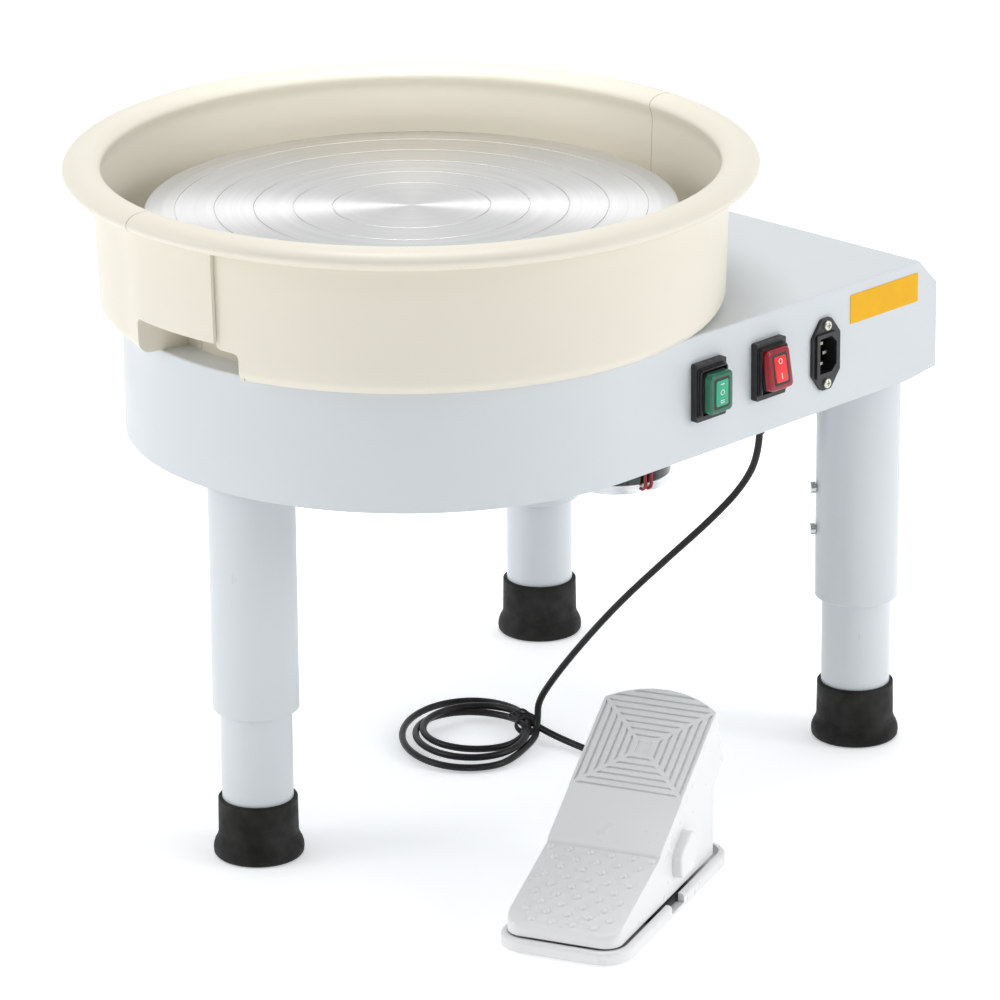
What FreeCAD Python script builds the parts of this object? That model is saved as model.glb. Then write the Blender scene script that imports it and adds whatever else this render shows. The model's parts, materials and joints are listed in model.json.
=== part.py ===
import FreeCAD, Part
import Sketcher
import math
import os
import re
from FreeCAD import Vector

# Electric pottery wheel, millimetres. Every piece is modelled about the spindle
# (x and y zero on its axis, floor at z zero, +X towards the rear of the housing)
# and its Placement then moves it so that the whole object is centred on the origin.

doc = FreeCAD.newDocument("pottery_wheel")
dims = doc.addObject("Spreadsheet::Sheet", "dims")

SIZES = {
    # wheel head and spindle
    "wheel_radius": 175, "wheel_top": 411, "wheel_thick": 14, "groove_wide": 0.8, "groove_deep": 0.5,
    "hub_radius": 32, "hub_low": 368, "spindle_radius": 10, "spindle_low": 268, "spindle_high": 401,
    "end_radius": 8, "end_low": 260,
    # housing shell
    "nose_radius": 191, "rear_reach": 307, "shell_top": 347, "shell_low": 265, "sheet_thick": 1.5,
    "rear_bevel": 19, "foot_bevel_long": 30, "foot_bevel_high": 4, "bend_radius": 1.4,
    "spindle_hole": 37,
    # bearing housing
    "flange_radius": 56, "flange_thick": 10, "sleeve_radius": 32, "sleeve_low": 290, "spigot_radius": 36,
    "spigot_high": 353, "bearing_radius": 23.5, "bearing_wide": 14, "upper_bearing_low": 335,
    "lower_bearing_low": 292, "fit_gap": 0.03, "relief_radius": 20, "bolt_circle": 45,
    "bolt_head": 5, "bolt_head_high": 4, "bolt_radius": 3,
    "collar_radius": 41, "collar_thick": 2, "collar_high": 378,
    # pulleys, belt and motor
    "pulley_radius": 90, "pulley_low": 274, "pulley_wide": 14, "pulley_flange": 2, "flange_wide": 1.5,
    "web_radius": 80, "web_thick": 4, "pulley_hub": 22, "small_pulley": 18, "motor_x": 197,
    "belt_gap": 0.25, "belt_thick": 2.6, "belt_wide": 10, "shaft_radius": 4,
    "can_radius": 37, "can_low": 177.5, "can_high": 256, "bell_radius": 36, "bell_low": 171,
    "plate_thick": 4, "lead_radius": 1.2,
    # basin
    "rim_radius": 227.5, "rim_half_wide": 12.5, "rim_half_high": 7, "rim_mid": 441,
    "wall_low_radius": 205.5, "wall_high_radius": 208, "wall_thick": 3, "basin_corner": 9,
    "basin_collar": 52, "basin_collar_high": 386, "seam_turn": -7.5, "seam_gap": 0.4,
    "notch_from": -5.1, "notch_to": 20, "notch_top": 373, "liner_radius": 168,
    "tongue_turn": 15.5, "tongue_root": 3, "tongue_low": 372, "tongue_high": 436, "tongue_thick": 3,
    # legs
    "front_leg": 150, "rear_leg_x": 276, "rear_leg_y": 150, "outer_radius": 28.5, "outer_wall": 3,
    "outer_low": 102.5, "leg_flange": 38, "leg_flange_thick": 5, "inner_radius": 23.5, "inner_wall": 2,
    "inner_low": 6, "inner_high": 216, "foot_high": 40, "foot_radius": 26.5, "foot_flare": 30,
    "screw_low": 151, "screw_high": 181,
    # switches and inlet on the side panel
    "green_x": 75.7, "red_x": 134, "switch_z": 309.5, "plate_wide": 28.5, "plate_high": 39,
    "plate_deep": 5, "boot_wide": 25.4, "boot_high": 32, "boot_deep": 3, "pocket_wide": 22.8,
    "pocket_high": 29, "boot_pocket_high": 29.9, "rocker_wide": 22, "rocker_high": 27.2, "green_out": 12,
    "red_out": 10.5, "rocker_in": 2, "red_tilt": 10, "rocker_pin": 2, "pin_deep": 3, "switch_deep": 28,
    "inlet_x": 192, "inlet_z": 305, "inlet_pitch": 40, "inlet_flange": 2.5, "inlet_deep": 22,
    "label_x": 252.5, "label_z": 329, "label_wide": 69,
    "label_high": 20, "label_thick": 0.4,
    # boxes under the top plate
    "box_wall": 2, "wiring_low": 275, "wiring_from": 52, "wiring_to": 214, "wiring_deep": 50,
    "case_x": 60, "case_y": 100, "case_long": 100, "case_wide": 62, "case_low": 303,
    # pedal, in its own frame: x from heel to toe, measured from 8 mm behind the treadle's pin
    "pedal_x": -49.3, "pedal_y": -228.9, "pedal_turn": 21, "pedal_heel": 104.5, "pedal_toe": 94,
    "pedal_wide": 89, "pedal_corner": 20, "pedal_low": 1.5, "pedal_rim": 10, "tray_floor": 4,
    "rim_wide": 4.2, "rim_round": 2.8, "gap_from": -17, "gap_to": 4,
    "tread_half": 39, "tread_low": 11.2, "tread_skin": 3, "heel_corner": 12, "pivot_x": 8, "pivot_z": 34,
    "pin_radius": 2.5, "pin_reach": 44, "lug_thick": 4, "lug_from": 29.5, "cheek_thick": 7.5,
    "cheek_from": 38,
    "toe_round": 69, "toe_lean": 21, "toe_reach": 87.5, "toe_high": 109,
    # pedal cord
    "cord_radius": 2.4, "gland_x": 158, "gland_y": -165, "gland_low": 252,
    "coil_x": 85, "coil_y": 37, "coil_turn": -46, "coil_long": 59, "coil_wide": 48, "coil_hole_long": 28,
    "coil_hole_wide": 27.5, "coil_hole_shift": 8, "coil_high": 14,
}
for row, (alias, size) in enumerate(SIZES.items(), start=1):
    dims.set(f"A{row}", alias.replace("_", " "))
    dims.set(f"B{row}", str(size))
    dims.setAlias(f"B{row}", alias)
doc.recompute()


def formula(text):
    """Write a size formula in terms of the sheet's cells."""
    return re.sub(r"[a-z]+(?:_[a-z]+)*", lambda word: "dims." + word[0] if word[0] in SIZES else word[0],
                  str(text))


def size(text):
    """The number that a size formula gives now."""
    found = dims.evalExpression(formula(text))
    return float(getattr(found, "Value", found))


def place(piece, at, axis=(0, 0, 1), turn=0):
    piece.Placement = FreeCAD.Placement(Vector(*[size(part) for part in at]),
                                        FreeCAD.Rotation(Vector(*axis), size(turn)))
    for letter, part in zip("xyz", at):
        piece.setExpression(f".Placement.Base.{letter}", formula(part))
    return piece


def primitive(kind, at, axis=(0, 0, 1), turn=0, **sizes):
    piece = doc.addObject("Part::" + kind, kind.lower())
    for name, text in sizes.items():
        piece.setExpression(name, formula(text))
    return place(piece, at, axis, turn)


def rod(radius, low, high, x="0", y="0"):
    """Upright cylinder between two heights."""
    return primitive("Cylinder", (x, y, low), Radius=radius, Height=f"({high}) - ({low})")


def block(x, y, z, turn=0):
    """Box between three pairs of limits; turned about the spindle if asked."""
    sides = {name: f"({pair[1]}) - ({pair[0]})" for name,
             pair in zip(("Length", "Width", "Height"), (x, y, z))}
    piece = primitive("Box", (x[0], y[0], z[0]), **sides)
    return turned_about(piece, turn) if size(turn) else piece


def turned_about(piece, turn, at=("0", "0", "0"), axis=(0, 0, 1)):
    holder = doc.addObject("Part::Compound", "turned")
    holder.Links = [piece]
    return place(holder, at, axis, turn)


def fuse(*pieces):
    joined = doc.addObject("Part::MultiFuse", "fuse")
    joined.Shapes = list(pieces)
    return joined


def group(*pieces):
    together = doc.addObject("Part::Compound", "group")
    together.Links = list(pieces)
    return together


def cut(base, *tools):
    for tool in tools:
        less = doc.addObject("Part::Cut", "cut")
        less.Base, less.Tool = base, tool
        base = less
    return base


def common(first, second):
    both = doc.addObject("Part::Common", "common")
    both.Base, both.Tool = first, second
    return both


def sketched(points, plane):
    """A body whose sketch is a closed outline, each corner bound to the sheet."""
    body = doc.addObject("PartDesign::Body", "body")
    sketch = body.newObject("Sketcher::SketchObject", "outline")
    origin = [part for part in body.Origin.OriginFeatures if part.Role == plane][0]
    sketch.AttachmentSupport = (origin, [""])
    sketch.MapMode = "FlatFace"
    corners = [Vector(size(across), size(up), 0) for across, up in points]
    count = len(corners)
    for index in range(count):
        sketch.addGeometry(Part.LineSegment(corners[index], corners[(index + 1) % count]), False)
    for index in range(count):
        sketch.addConstraint(Sketcher.Constraint("Coincident", index, 2, (index + 1) % count, 1))
    for index, pair in enumerate(points):
        for kind, text, now in zip(("DistanceX", "DistanceY"), pair, corners[index]):
            number = sketch.addConstraint(Sketcher.Constraint(kind, -1, 1, index, 1, now))
            sketch.setExpression(f"Constraints[{number}]", formula(text))
    return body, sketch


def lathe(points, angle="360", start=0):
    """Turn an outline of (radius, height) corners about the spindle."""
    body, sketch = sketched(points, "XZ_Plane")
    feature = body.newObject("PartDesign::Revolution", "turning")
    feature.Profile = sketch
    feature.ReferenceAxis = (sketch, ["V_Axis"])
    feature.setExpression("Angle", formula(angle))
    doc.recompute()
    if size(angle) < 360:
        # the section starts on +X; make sure that it sweeps towards +Y
        middle = feature.Shape.CenterOfMass
        feature.Reversed = middle.y < 0
    return place(body, ("0", "0", "0"), turn=start)


def slab(points, low, high):
    """Pad a plan outline of (x, y) corners between two heights."""
    body, sketch = sketched(points, "XY_Plane")
    pad = body.newObject("PartDesign::Pad", "pad")
    pad.Profile = sketch
    pad.setExpression("Length", formula(f"({high}) - ({low})"))
    return place(body, ("0", "0", low))


def wall(points, width, at=("0", "0", "0")):
    """Pad a side outline of (x, z) corners evenly to both sides of the y = 0 plane."""
    body, sketch = sketched(points, "XZ_Plane")
    pad = body.newObject("PartDesign::Pad", "pad")
    pad.Profile = sketch
    pad.Midplane = True
    pad.setExpression("Length", formula(width))
    return place(body, at)


def rounded(piece, radius, pick):
    """Round the edges that pick() chooses."""
    doc.recompute()
    soft = doc.addObject("Part::Fillet", "rounded")
    soft.Base = piece
    reach = size(radius)
    soft.Edges = [(number, reach, reach) for number, edge in enumerate(piece.Shape.Edges, 1) if pick(edge)]
    return soft


def upright(edge):
    first, last = edge.Vertexes[0].Point, edge.Vertexes[-1].Point
    return abs(first.x - last.x) + abs(first.y - last.y) < 0.01 and abs(first.z - last.z) > 0.5


def at_height(height, beyond=0.0):
    """Edges that lie flat at one height, further from the spindle than beyond."""
    def pick(edge):
        box = edge.BoundBox
        far = math.hypot(edge.CenterOfMass.x, edge.CenterOfMass.y) >= beyond or edge.Length > 6 * beyond > 0
        return abs(box.ZMin - height) < 0.01 and abs(box.ZMax - height) < 0.01 and far
    return pick


AXIS_X = "(rim_radius - rear_reach) / 2"
HEADING = "pedal_turn * 1 deg"
PEDAL_REACH = (f"(pedal_heel - pedal_corner) * sin({HEADING})"
               f" + (pedal_wide / 2 - pedal_corner) * cos({HEADING}) + pedal_corner - pedal_y")
AXIS_Y = f"({PEDAL_REACH} - rim_radius) / 2"
NODES = {}


def node(label, piece, frame="wheel"):
    """Keep a finished sub-part: label it and place it about the object's origin."""
    holder = group(piece) if piece.TypeId != "Part::Feature" else piece
    holder.Label = label
    if frame == "pedal":
        place(holder, (f"{AXIS_X} + pedal_x", f"{AXIS_Y} + pedal_y", "0"), turn="pedal_turn")
    else:
        place(holder, (AXIS_X, AXIS_Y, "0"))
    NODES[label] = holder
    return holder


def tube(points, radius):
    """A round tube along straight runs joined by tangent arcs; returns shape and arc radii."""
    stops = [Vector(*point) for point in points]
    edges, radii, here = [], [], stops[0]
    for before, corner, after in zip(stops, stops[1:], stops[2:]):
        back, ahead = (before - corner), (after - corner)
        short = 0.45 * min(back.Length, ahead.Length)
        half_turn = (math.pi - back.getAngle(ahead)) / 2
        radii.append(short / math.tan(half_turn))
        start = corner + back.normalize() * short
        end = corner + ahead.normalize() * short
        inside = (back + ahead).normalize()
        middle = corner + inside * (radii[-1] / math.cos(half_turn) - radii[-1])
        edges += [Part.LineSegment(here, start).toShape(), Part.Arc(start, middle, end).toShape()]
        here = end
    edges.append(Part.LineSegment(here, stops[-1]).toShape())
    path = Part.Wire(edges)
    section = Part.Wire(Part.Circle(stops[0], stops[1] - stops[0], radius).toShape())
    shape = path.makePipeShell([section], True, False)
    expected = math.pi * radius ** 2 * path.Length
    print("tube", len(points), "points, length", round(path.Length, 1), "volume ratio",
          round(shape.Volume / expected, 4), "radii", [round(value) for value in radii])
    return shape


def routed(name, points, radius):
    """A tube is swept along its own path, so its shape is set here."""
    piece = doc.addObject("Part::Feature", name)
    piece.Shape = tube(points, size(radius))
    return piece


# ---- Wheel head: a cast aluminium disc with turned centring grooves and a hub below

def wheel_outline():
    top, low = "wheel_top", "wheel_top - wheel_thick"
    corners = [("0", top)]
    for ring in range(1, 6):
        mid = f"wheel_radius * {0.1475 * (ring + 1):.4f}"
        corners += [(f"{mid} - groove_wide / 2", top), (mid, f"{top} - groove_deep"),
                    (f"{mid} + groove_wide / 2", top)]
    corners += [("wheel_radius - 1", top), ("wheel_radius", f"{top} - 1"), ("wheel_radius", f"{low} + 3"),
                ("wheel_radius - 3", low), ("hub_radius + 12", low), ("hub_radius", f"{low} - 8"),
                ("hub_radius", "hub_low"), ("spindle_radius", "hub_low"), ("spindle_radius", "spindle_high"),
                ("0", "spindle_high")]
    return corners


GRUB_Z = "hub_low + 8"
grub_screws = [primitive("Cylinder", ("0", "0", GRUB_Z), (0, 1, 0), 90, Radius="3", Height="hub_radius"),
               primitive("Cylinder", ("0", "0", GRUB_Z), (1, 0, 0), -90, Radius="3", Height="hub_radius")]
node("wheel_head", cut(lathe(wheel_outline()), *grub_screws))
node("head_grub_screws", cut(fuse(
    primitive("Cylinder", ("0", "0", GRUB_Z), (0, 1, 0), 90, Radius="2.95", Height="hub_radius - 1"),
    primitive("Cylinder", ("0", "0", GRUB_Z), (1, 0, 0), -90, Radius="2.95", Height="hub_radius - 1")),
    rod("spindle_radius + 0.02", "hub_low", "hub_low + 20")))
node("spindle", lathe([("0", "end_low"), ("end_radius - 1", "end_low"), ("end_radius", "end_low + 1"),
                       ("end_radius", "spindle_low"), ("spindle_radius", "spindle_low"),
                       ("spindle_radius", "spindle_high"), ("0", "spindle_high")]))
PULLEY_TOP = "pulley_low + pulley_wide"
node("driven_pulley", lathe([
    ("spindle_radius + 0.01", "pulley_low - 4"), ("pulley_hub", "pulley_low - 4"),
    ("pulley_hub", "pulley_low + pulley_wide / 2 - web_thick / 2"),
    ("web_radius", "pulley_low + pulley_wide / 2 - web_thick / 2"), ("web_radius", "pulley_low"),
    ("pulley_radius + pulley_flange", "pulley_low"),
    ("pulley_radius + pulley_flange", "pulley_low + flange_wide"),
    ("pulley_radius", "pulley_low + flange_wide"),
    ("pulley_radius", f"{PULLEY_TOP} - flange_wide"),
    ("pulley_radius + pulley_flange", f"{PULLEY_TOP} - flange_wide"),
    ("pulley_radius + pulley_flange", PULLEY_TOP), ("web_radius", PULLEY_TOP),
    ("web_radius", "pulley_low + pulley_wide / 2 + web_thick / 2"),
    ("pulley_hub", "pulley_low + pulley_wide / 2 + web_thick / 2"),
    ("pulley_hub", f"{PULLEY_TOP} + 2"), ("spindle_radius + 0.01", f"{PULLEY_TOP} + 2")]))
nut = primitive("Prism", ("0", "0", "end_low + 1"), Polygon="6", Circumradius="15", Height="7")
washer = rod("14", "spindle_low", "spindle_low + 2")
node("spindle_nut", fuse(cut(nut, rod("end_radius + 0.02", "end_low", "end_low + 10")),
                         cut(washer, rod("spindle_radius + 0.02", "spindle_low - 1", "spindle_low + 4"))))

# ---- Housing: a folded and welded sheet steel shell, open below

def shell_solid(inset):
    """The housing's outside, or its inside when inset by the sheet."""
    top, low = f"shell_top - {inset}", "shell_low" if inset == "0" else "shell_low - 1"
    half, rear = f"nose_radius - {inset}", f"rear_reach - {inset}"
    plan = fuse(rod(half, low, top), block(("0", rear), (f"-({half})", half), (low, top)))
    bevel = wall([(f"{rear} - rear_bevel", f"{top} + 0.01"), (f"{rear} + 1", f"{top} + 0.01"),
                  (f"{rear} + 1", f"{top} - rear_bevel - 1")], "500")
    return cut(plan, bevel)


FACE = "-nose_radius"
outside = rounded(shell_solid("0"), "bend_radius", at_height(size("shell_top"), 100))
foot_bevel = wall([("rear_reach - foot_bevel_long", "shell_low - 0.01"),
                   ("rear_reach + 1", "shell_low - 0.01"),
                   ("rear_reach + 1", "shell_low + foot_bevel_high")], "500")
hollow = shell_solid("sheet_thick")
panel_cuts = [block((f"{x} - {half}", f"{x} + {half}"), (f"{FACE} - 2", f"{FACE} + 4"),
                    (f"{z} - {high}", f"{z} + {high}"))
              for x, z, half, high in (("green_x", "switch_z", "12.2", "15.2"),
                                       ("red_x", "switch_z", "12.2", "15.2"),
                                       ("inlet_x", "inlet_z", "11.2", "15.2"))]
screw_holes = [primitive("Cylinder", ("inlet_x", FACE + " + 3", f"inlet_z {side} inlet_pitch / 2"), (1, 0, 0),
                         90,
                         Radius="1.6", Height="6") for side in "+-"]
node("housing_shell", cut(outside, hollow, foot_bevel, rod("spindle_hole", "shell_top - 5", "shell_top + 5"),
                          *panel_cuts, *screw_holes))

# ---- Bearing housing bolted under the top plate, with its two ball bearings

UNDER = "shell_top - sheet_thick"
bearing_block = lathe([
    ("relief_radius", "lower_bearing_low + bearing_wide"),
    ("bearing_radius + 0.02", "lower_bearing_low + bearing_wide"),
    ("bearing_radius + 0.02", "sleeve_low"), ("sleeve_radius", "sleeve_low"),
    ("sleeve_radius", f"{UNDER} - flange_thick - 6"), ("sleeve_radius + 6", f"{UNDER} - flange_thick"),
    ("flange_radius", f"{UNDER} - flange_thick"), ("flange_radius", UNDER), ("spigot_radius", UNDER),
    ("spigot_radius", "spigot_high"), ("bearing_radius + 0.02", "spigot_high"),
    ("bearing_radius + 0.02", "upper_bearing_low"), ("relief_radius", "upper_bearing_low")])


def ring_of(count, circle, start, make):
    """Pieces spaced evenly on a circle about the spindle."""
    turns = [math.radians(start + 360 * step / count) for step in range(count)]
    return [make(f"{circle} * {math.cos(turn):.6f}", f"{circle} * {math.sin(turn):.6f}") for turn in turns]


def hex_bolt(x, y, seat, up, grip):
    """A hexagon head on its seat, pointing up or down, and its shank."""
    head_low, head_high = (seat, f"{seat} + bolt_head_high") if up else (f"{seat} - bolt_head_high", seat)
    head = primitive("Prism", (x, y, head_low), Polygon="6", Circumradius="bolt_head",
                     Height="bolt_head_high")
    shank = rod("bolt_radius", f"{seat} - {grip}" if up else head_high, seat if up else f"{seat} + {grip}", x,
                y)
    return fuse(head, shank)


bearing_seat = f"{UNDER} - flange_thick"
bolt_holes = ring_of(4, "bolt_circle", 45, lambda x, y: rod("bolt_radius + 0.02", "300", f"{UNDER} + 1", x,
                                                            y))
node("bearing_housing", cut(bearing_block, *bolt_holes))
node("bearing_bolts", group(*ring_of(4, "bolt_circle", 45, lambda x,
                                     y: hex_bolt(x, y, bearing_seat, False, "flange_thick"))))
for name, low in (("upper_bearing", "upper_bearing_low"), ("lower_bearing", "lower_bearing_low")):
    node(name, lathe([("spindle_radius + fit_gap", low), ("bearing_radius", low),
                      ("bearing_radius", f"{low} + bearing_wide"), ("19.5", f"{low} + bearing_wide"),
                      ("19", f"{low} + bearing_wide - 0.8"), ("14.5", f"{low} + bearing_wide - 0.8"),
                      ("14", f"{low} + bearing_wide"), ("spindle_radius + fit_gap",
                                                        f"{low} + bearing_wide")]))
node("splash_collar", lathe([("spigot_radius + 0.3", "shell_top"), ("collar_radius + 5", "shell_top"),
                             ("collar_radius + 5", "shell_top + 2"), ("collar_radius", "shell_top + 2"),
                             ("collar_radius", "collar_high"),
                             ("collar_radius - collar_thick", "collar_high"),
                             ("collar_radius - collar_thick", "spigot_high"),
                             ("spigot_radius + 0.3", "spigot_high")]))

# ---- Motor, hung from the top plate, and the belt drive

def beside(body):
    """Move a turned piece from the spindle to the motor's axis."""
    return place(group(body), ("motor_x", "0", "0"))


notch = place(block(("30", "45"), ("-5.5", "5.5"), ("bell_low - 1", "can_low - 1")), ("0", "0", "0"))
notch.Placement = FreeCAD.Placement(Vector(size("motor_x"), 0, 0), FreeCAD.Rotation(-106, 0, 0)).multiply(
    FreeCAD.Placement(Vector(30, -5.5, size("bell_low") - 1), FreeCAD.Rotation()))
for letter in "xyz":
    notch.setExpression(f".Placement.Base.{letter}", None)
node("motor_end_bell", cut(beside(lathe([
    ("0", "bell_low + 3"), ("18", "bell_low + 3"), ("20", "bell_low"), ("bell_radius - 1", "bell_low"),
    ("bell_radius", "bell_low + 1"), ("bell_radius", "can_low"), ("0", "can_low")])), notch))
node("motor_can", beside(lathe([
    ("0", "can_low"), ("can_radius - 1", "can_low"), ("can_radius", "can_low + 1"),
    ("can_radius", "can_high - 3"),
    ("can_radius - 3", "can_high"), ("shaft_radius + fit_gap", "can_high"),
    ("shaft_radius + fit_gap", "can_high - 30"),
    ("0", "can_high - 30")])))
node("motor_shaft", beside(rod("shaft_radius", "can_high - 29.5", f"{PULLEY_TOP} + 3")))
node("motor_pulley", beside(lathe([
    ("shaft_radius + 0.01", "pulley_low - 4"), ("small_pulley - 6", "pulley_low - 4"),
    ("small_pulley - 6", "pulley_low"),
    ("small_pulley + pulley_flange", "pulley_low"), ("small_pulley + pulley_flange",
                                                     "pulley_low + flange_wide"),
    ("small_pulley", "pulley_low + flange_wide"), ("small_pulley", f"{PULLEY_TOP} - flange_wide"),
    ("small_pulley + pulley_flange", f"{PULLEY_TOP} - flange_wide"),
    ("small_pulley + pulley_flange", PULLEY_TOP),
    ("shaft_radius + 0.01", PULLEY_TOP)])))


def belt_loop(offset, low, high):
    """Solid inside a belt line that wraps both pulleys, offset from their rims."""
    big, little, span = size(f"pulley_radius + {offset}"), size(f"small_pulley + {offset}"), size("motor_x")
    lean = math.acos((big - little) / span)
    across, up = math.cos(lean), math.sin(lean)
    sides = slab([(big * across, -big * up), (span + little * across, -little * up),
                  (span + little * across, little * up), (big * across, big * up)], low, high)
    return fuse(rod(f"pulley_radius + {offset}", low, high),
                rod(f"small_pulley + {offset}", low, high, "motor_x"), sides)


BELT_LOW, BELT_TOP = ("pulley_low + pulley_wide / 2 - belt_wide / 2",
                      "pulley_low + pulley_wide / 2 + belt_wide / 2")
node("drive_belt", cut(belt_loop("belt_gap + belt_thick", BELT_LOW, BELT_TOP),
                       belt_loop("belt_gap", f"{BELT_LOW} - 1", f"{BELT_TOP} + 1")))
posts = [(x, y) for x, reach in (("motor_x - 30", "48"), ("motor_x + 42", "34"))
         for y in (reach, "-" + reach)]
plate = slab([("motor_x - 38", "-56"), ("motor_x - 10", "-56"), ("motor_x + 52", "-44"),
              ("motor_x + 52", "44"),
              ("motor_x - 10", "56"), ("motor_x - 38", "56")], "can_high", "can_high + plate_thick")
post_rods = [rod("5", "can_high + plate_thick", UNDER, x, y) for x, y in posts]
can_bolts = [("motor_x + 18.4 * %d" % a, "18.4 * %d" % b) for a in (-1, 1) for b in (-1, 1)]
node("motor_bracket", cut(fuse(plate, *post_rods), rod("12", "can_high - 1", "can_high + 10", "motor_x"),
                          *[rod("bolt_radius + 0.02", "can_high - 1", "can_high + 10", x, y)
                            for x, y in can_bolts]))
node("motor_bolts", group(*[hex_bolt(x, y, "can_high + plate_thick", True, "plate_thick")
                            for x, y in can_bolts]))
lead_turns = [math.radians(angle) for angle in (-108, -101)]
leads = []
for turn in lead_turns:
    out = Vector(math.cos(turn), math.sin(turn), 0)
    start = Vector(size("motor_x"), 0, 0)
    reach = size("can_radius") + 2.2
    heights = ((size("can_radius") - 4, size("bell_low") + 2.5), (reach - 3.2, size("bell_low") + 2.6),
               (reach + 0.6, size("bell_low") + 5.5), (reach, size("bell_low") + 12),
               (reach + 0.6, size("bell_low") + 40),
               (reach, size("can_high") - 10))
    leads.append(routed("lead", [tuple(start + out * away + Vector(0, 0, up)) for away, up in heights],
                        "lead_radius"))
node("motor_leads", group(*leads))

# ---- Legs: an outer tube with a flange, and a height-adjusting inner tube in a rubber foot

LEGS = {"front": ("-front_leg", "0", 0), "left": ("rear_leg_x", "rear_leg_y", -140),
        "right": ("rear_leg_x", "-rear_leg_y", 140)}
flange_bolts, clamp_screws = [], []
for side, (leg_x, leg_y, facing) in LEGS.items():
    at_leg = (leg_x, leg_y, "0")
    tube_part = lathe([("outer_radius - outer_wall", "outer_low"), ("outer_radius - 0.6", "outer_low"),
                       ("outer_radius", "outer_low + 0.6"), ("outer_radius", f"{UNDER} - leg_flange_thick"),
                       ("leg_flange", f"{UNDER} - leg_flange_thick") if side == "front" else
                       ("outer_radius + 0.4", f"{UNDER} - leg_flange_thick"),
                       ("leg_flange", UNDER) if side == "front" else ("outer_radius + 0.4", UNDER),
                       ("outer_radius - outer_wall", UNDER)])
    tube_part = place(group(tube_part), at_leg)
    # the rear legs' flange is a lug that points away from the rear wall
    toward = math.radians(facing)
    lugs = [] if side == "front" else [block((f"{leg_x} - 60", f"{leg_x} - 20"),
                                             (f"{leg_y} - 14", f"{leg_y} + 14"),
                                             (f"{UNDER} - leg_flange_thick", UNDER))]
    bore = rod("outer_radius - outer_wall", f"{UNDER} - leg_flange_thick - 1", f"{UNDER} + 1", leg_x, leg_y)
    bolt_at = [(f"{leg_x} - 38", leg_y), (f"{leg_x} - 52", leg_y)] if lugs else [
        (f"{leg_x} + 34", leg_y), (f"{leg_x} - 17", f"{leg_y} + 29.45"),
        (f"{leg_x} - 17", f"{leg_y} - 29.45")]
    cuts = [rod("bolt_radius + 0.02", f"{UNDER} - 8", f"{UNDER} + 1", x, y) for x, y in bolt_at]
    for height in ("screw_low", "screw_high"):
        cuts.append(primitive("Cylinder", (leg_x, leg_y, height), (-math.sin(toward), math.cos(toward), 0),
                              90,
                              Radius="2.55", Height="outer_radius + 2"))
        direction = (-math.sin(toward), math.cos(toward), 0)
        along = f"{math.cos(toward):.6f}", f"{math.sin(toward):.6f}"
        shank = primitive("Cylinder", (f"{leg_x} + {along[0]} * (inner_radius + 0.3)",
                                       f"{leg_y} + {along[1]} * (inner_radius + 0.3)", height), direction, 90,
                          Radius="2.5", Height="outer_radius - inner_radius + 1")
        head = primitive("Cylinder", (f"{leg_x} + {along[0]} * (outer_radius + 0.7)",
                                      f"{leg_y} + {along[1]} * (outer_radius + 0.7)", height), direction, 90,
                         Radius="4", Height="3.2")
        clamp_screws.append(fuse(shank, head))
    if lugs:
        # the rear corner is bevelled, so the tube's top is trimmed to fit under it
        corner = ("rear_reach - sheet_thick", UNDER)
        bevel_room = wall([(f"{corner[0]} - rear_bevel", f"{UNDER} + 1"),
                           (f"{corner[0]} + 5", f"{UNDER} + 1"),
                           (f"{corner[0]} + 5", f"{UNDER} - rear_bevel - 6"),
                           (f"{corner[0]} - rear_bevel - 1", UNDER)],
                          "500")
        tube_part = cut(fuse(tube_part, *lugs), bore, bevel_room)
    node(f"{side}_leg_tube", cut(tube_part, *cuts))
    flange_bolts += [hex_bolt(x, y, f"{UNDER} - leg_flange_thick", False, "leg_flange_thick")
                     for x, y in bolt_at]
    node(f"{side}_inner_tube", place(group(lathe([
        ("inner_radius - inner_wall", "inner_low"), ("inner_radius", "inner_low"),
        ("inner_radius", "inner_high - 0.6"),
        ("inner_radius - 0.6", "inner_high"), ("inner_radius - inner_wall", "inner_high")])), at_leg))
    node(f"{side}_foot", place(group(lathe([
        ("0", "0"), ("foot_flare - 1.4", "0"), ("foot_flare - 0.3", "1.4"), ("foot_flare", "4"),
        ("foot_flare - 0.2", "6.5"), ("foot_flare - 1", "9"), ("foot_radius + 0.9", "12"),
        ("foot_radius", "15"),
        ("foot_radius - 0.3", "foot_high - 0.8"), ("foot_radius - 1", "foot_high"),
        ("inner_radius + 0.02", "foot_high"), ("inner_radius + 0.02", "inner_low"), ("0", "inner_low")])),
        at_leg))
node("leg_bolts", group(*flange_bolts))
node("leg_clamp_screws", group(*clamp_screws))

# ---- Splash basin: two equal moulded halves that meet on a line through the spindle

BASIN_LOW, BASIN_FLOOR = "shell_top", "shell_top + wall_thick"
ring_body = rounded(lathe([
    ("basin_collar - wall_thick", BASIN_LOW), ("basin_collar - wall_thick", "basin_collar_high"),
    ("basin_collar", "basin_collar_high"), ("basin_collar", BASIN_FLOOR),
    ("wall_low_radius - wall_thick - 6", BASIN_FLOOR), ("wall_low_radius - wall_thick", "shell_top + 9"),
    ("wall_high_radius - wall_thick", "rim_mid"), ("wall_high_radius", "rim_mid"),
    ("wall_low_radius", BASIN_LOW)]),
    "basin_corner", lambda edge: abs(edge.BoundBox.ZMax - size(BASIN_LOW)) < 0.01 and
    edge.BoundBox.XMax > size("wall_low_radius") - 1)
oval = primitive("Ellipse", ("rim_radius - rim_half_wide", "0", "rim_mid"), (1, 0, 0), 90,
                 MajorRadius="rim_half_wide", MinorRadius="rim_half_high")
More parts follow.
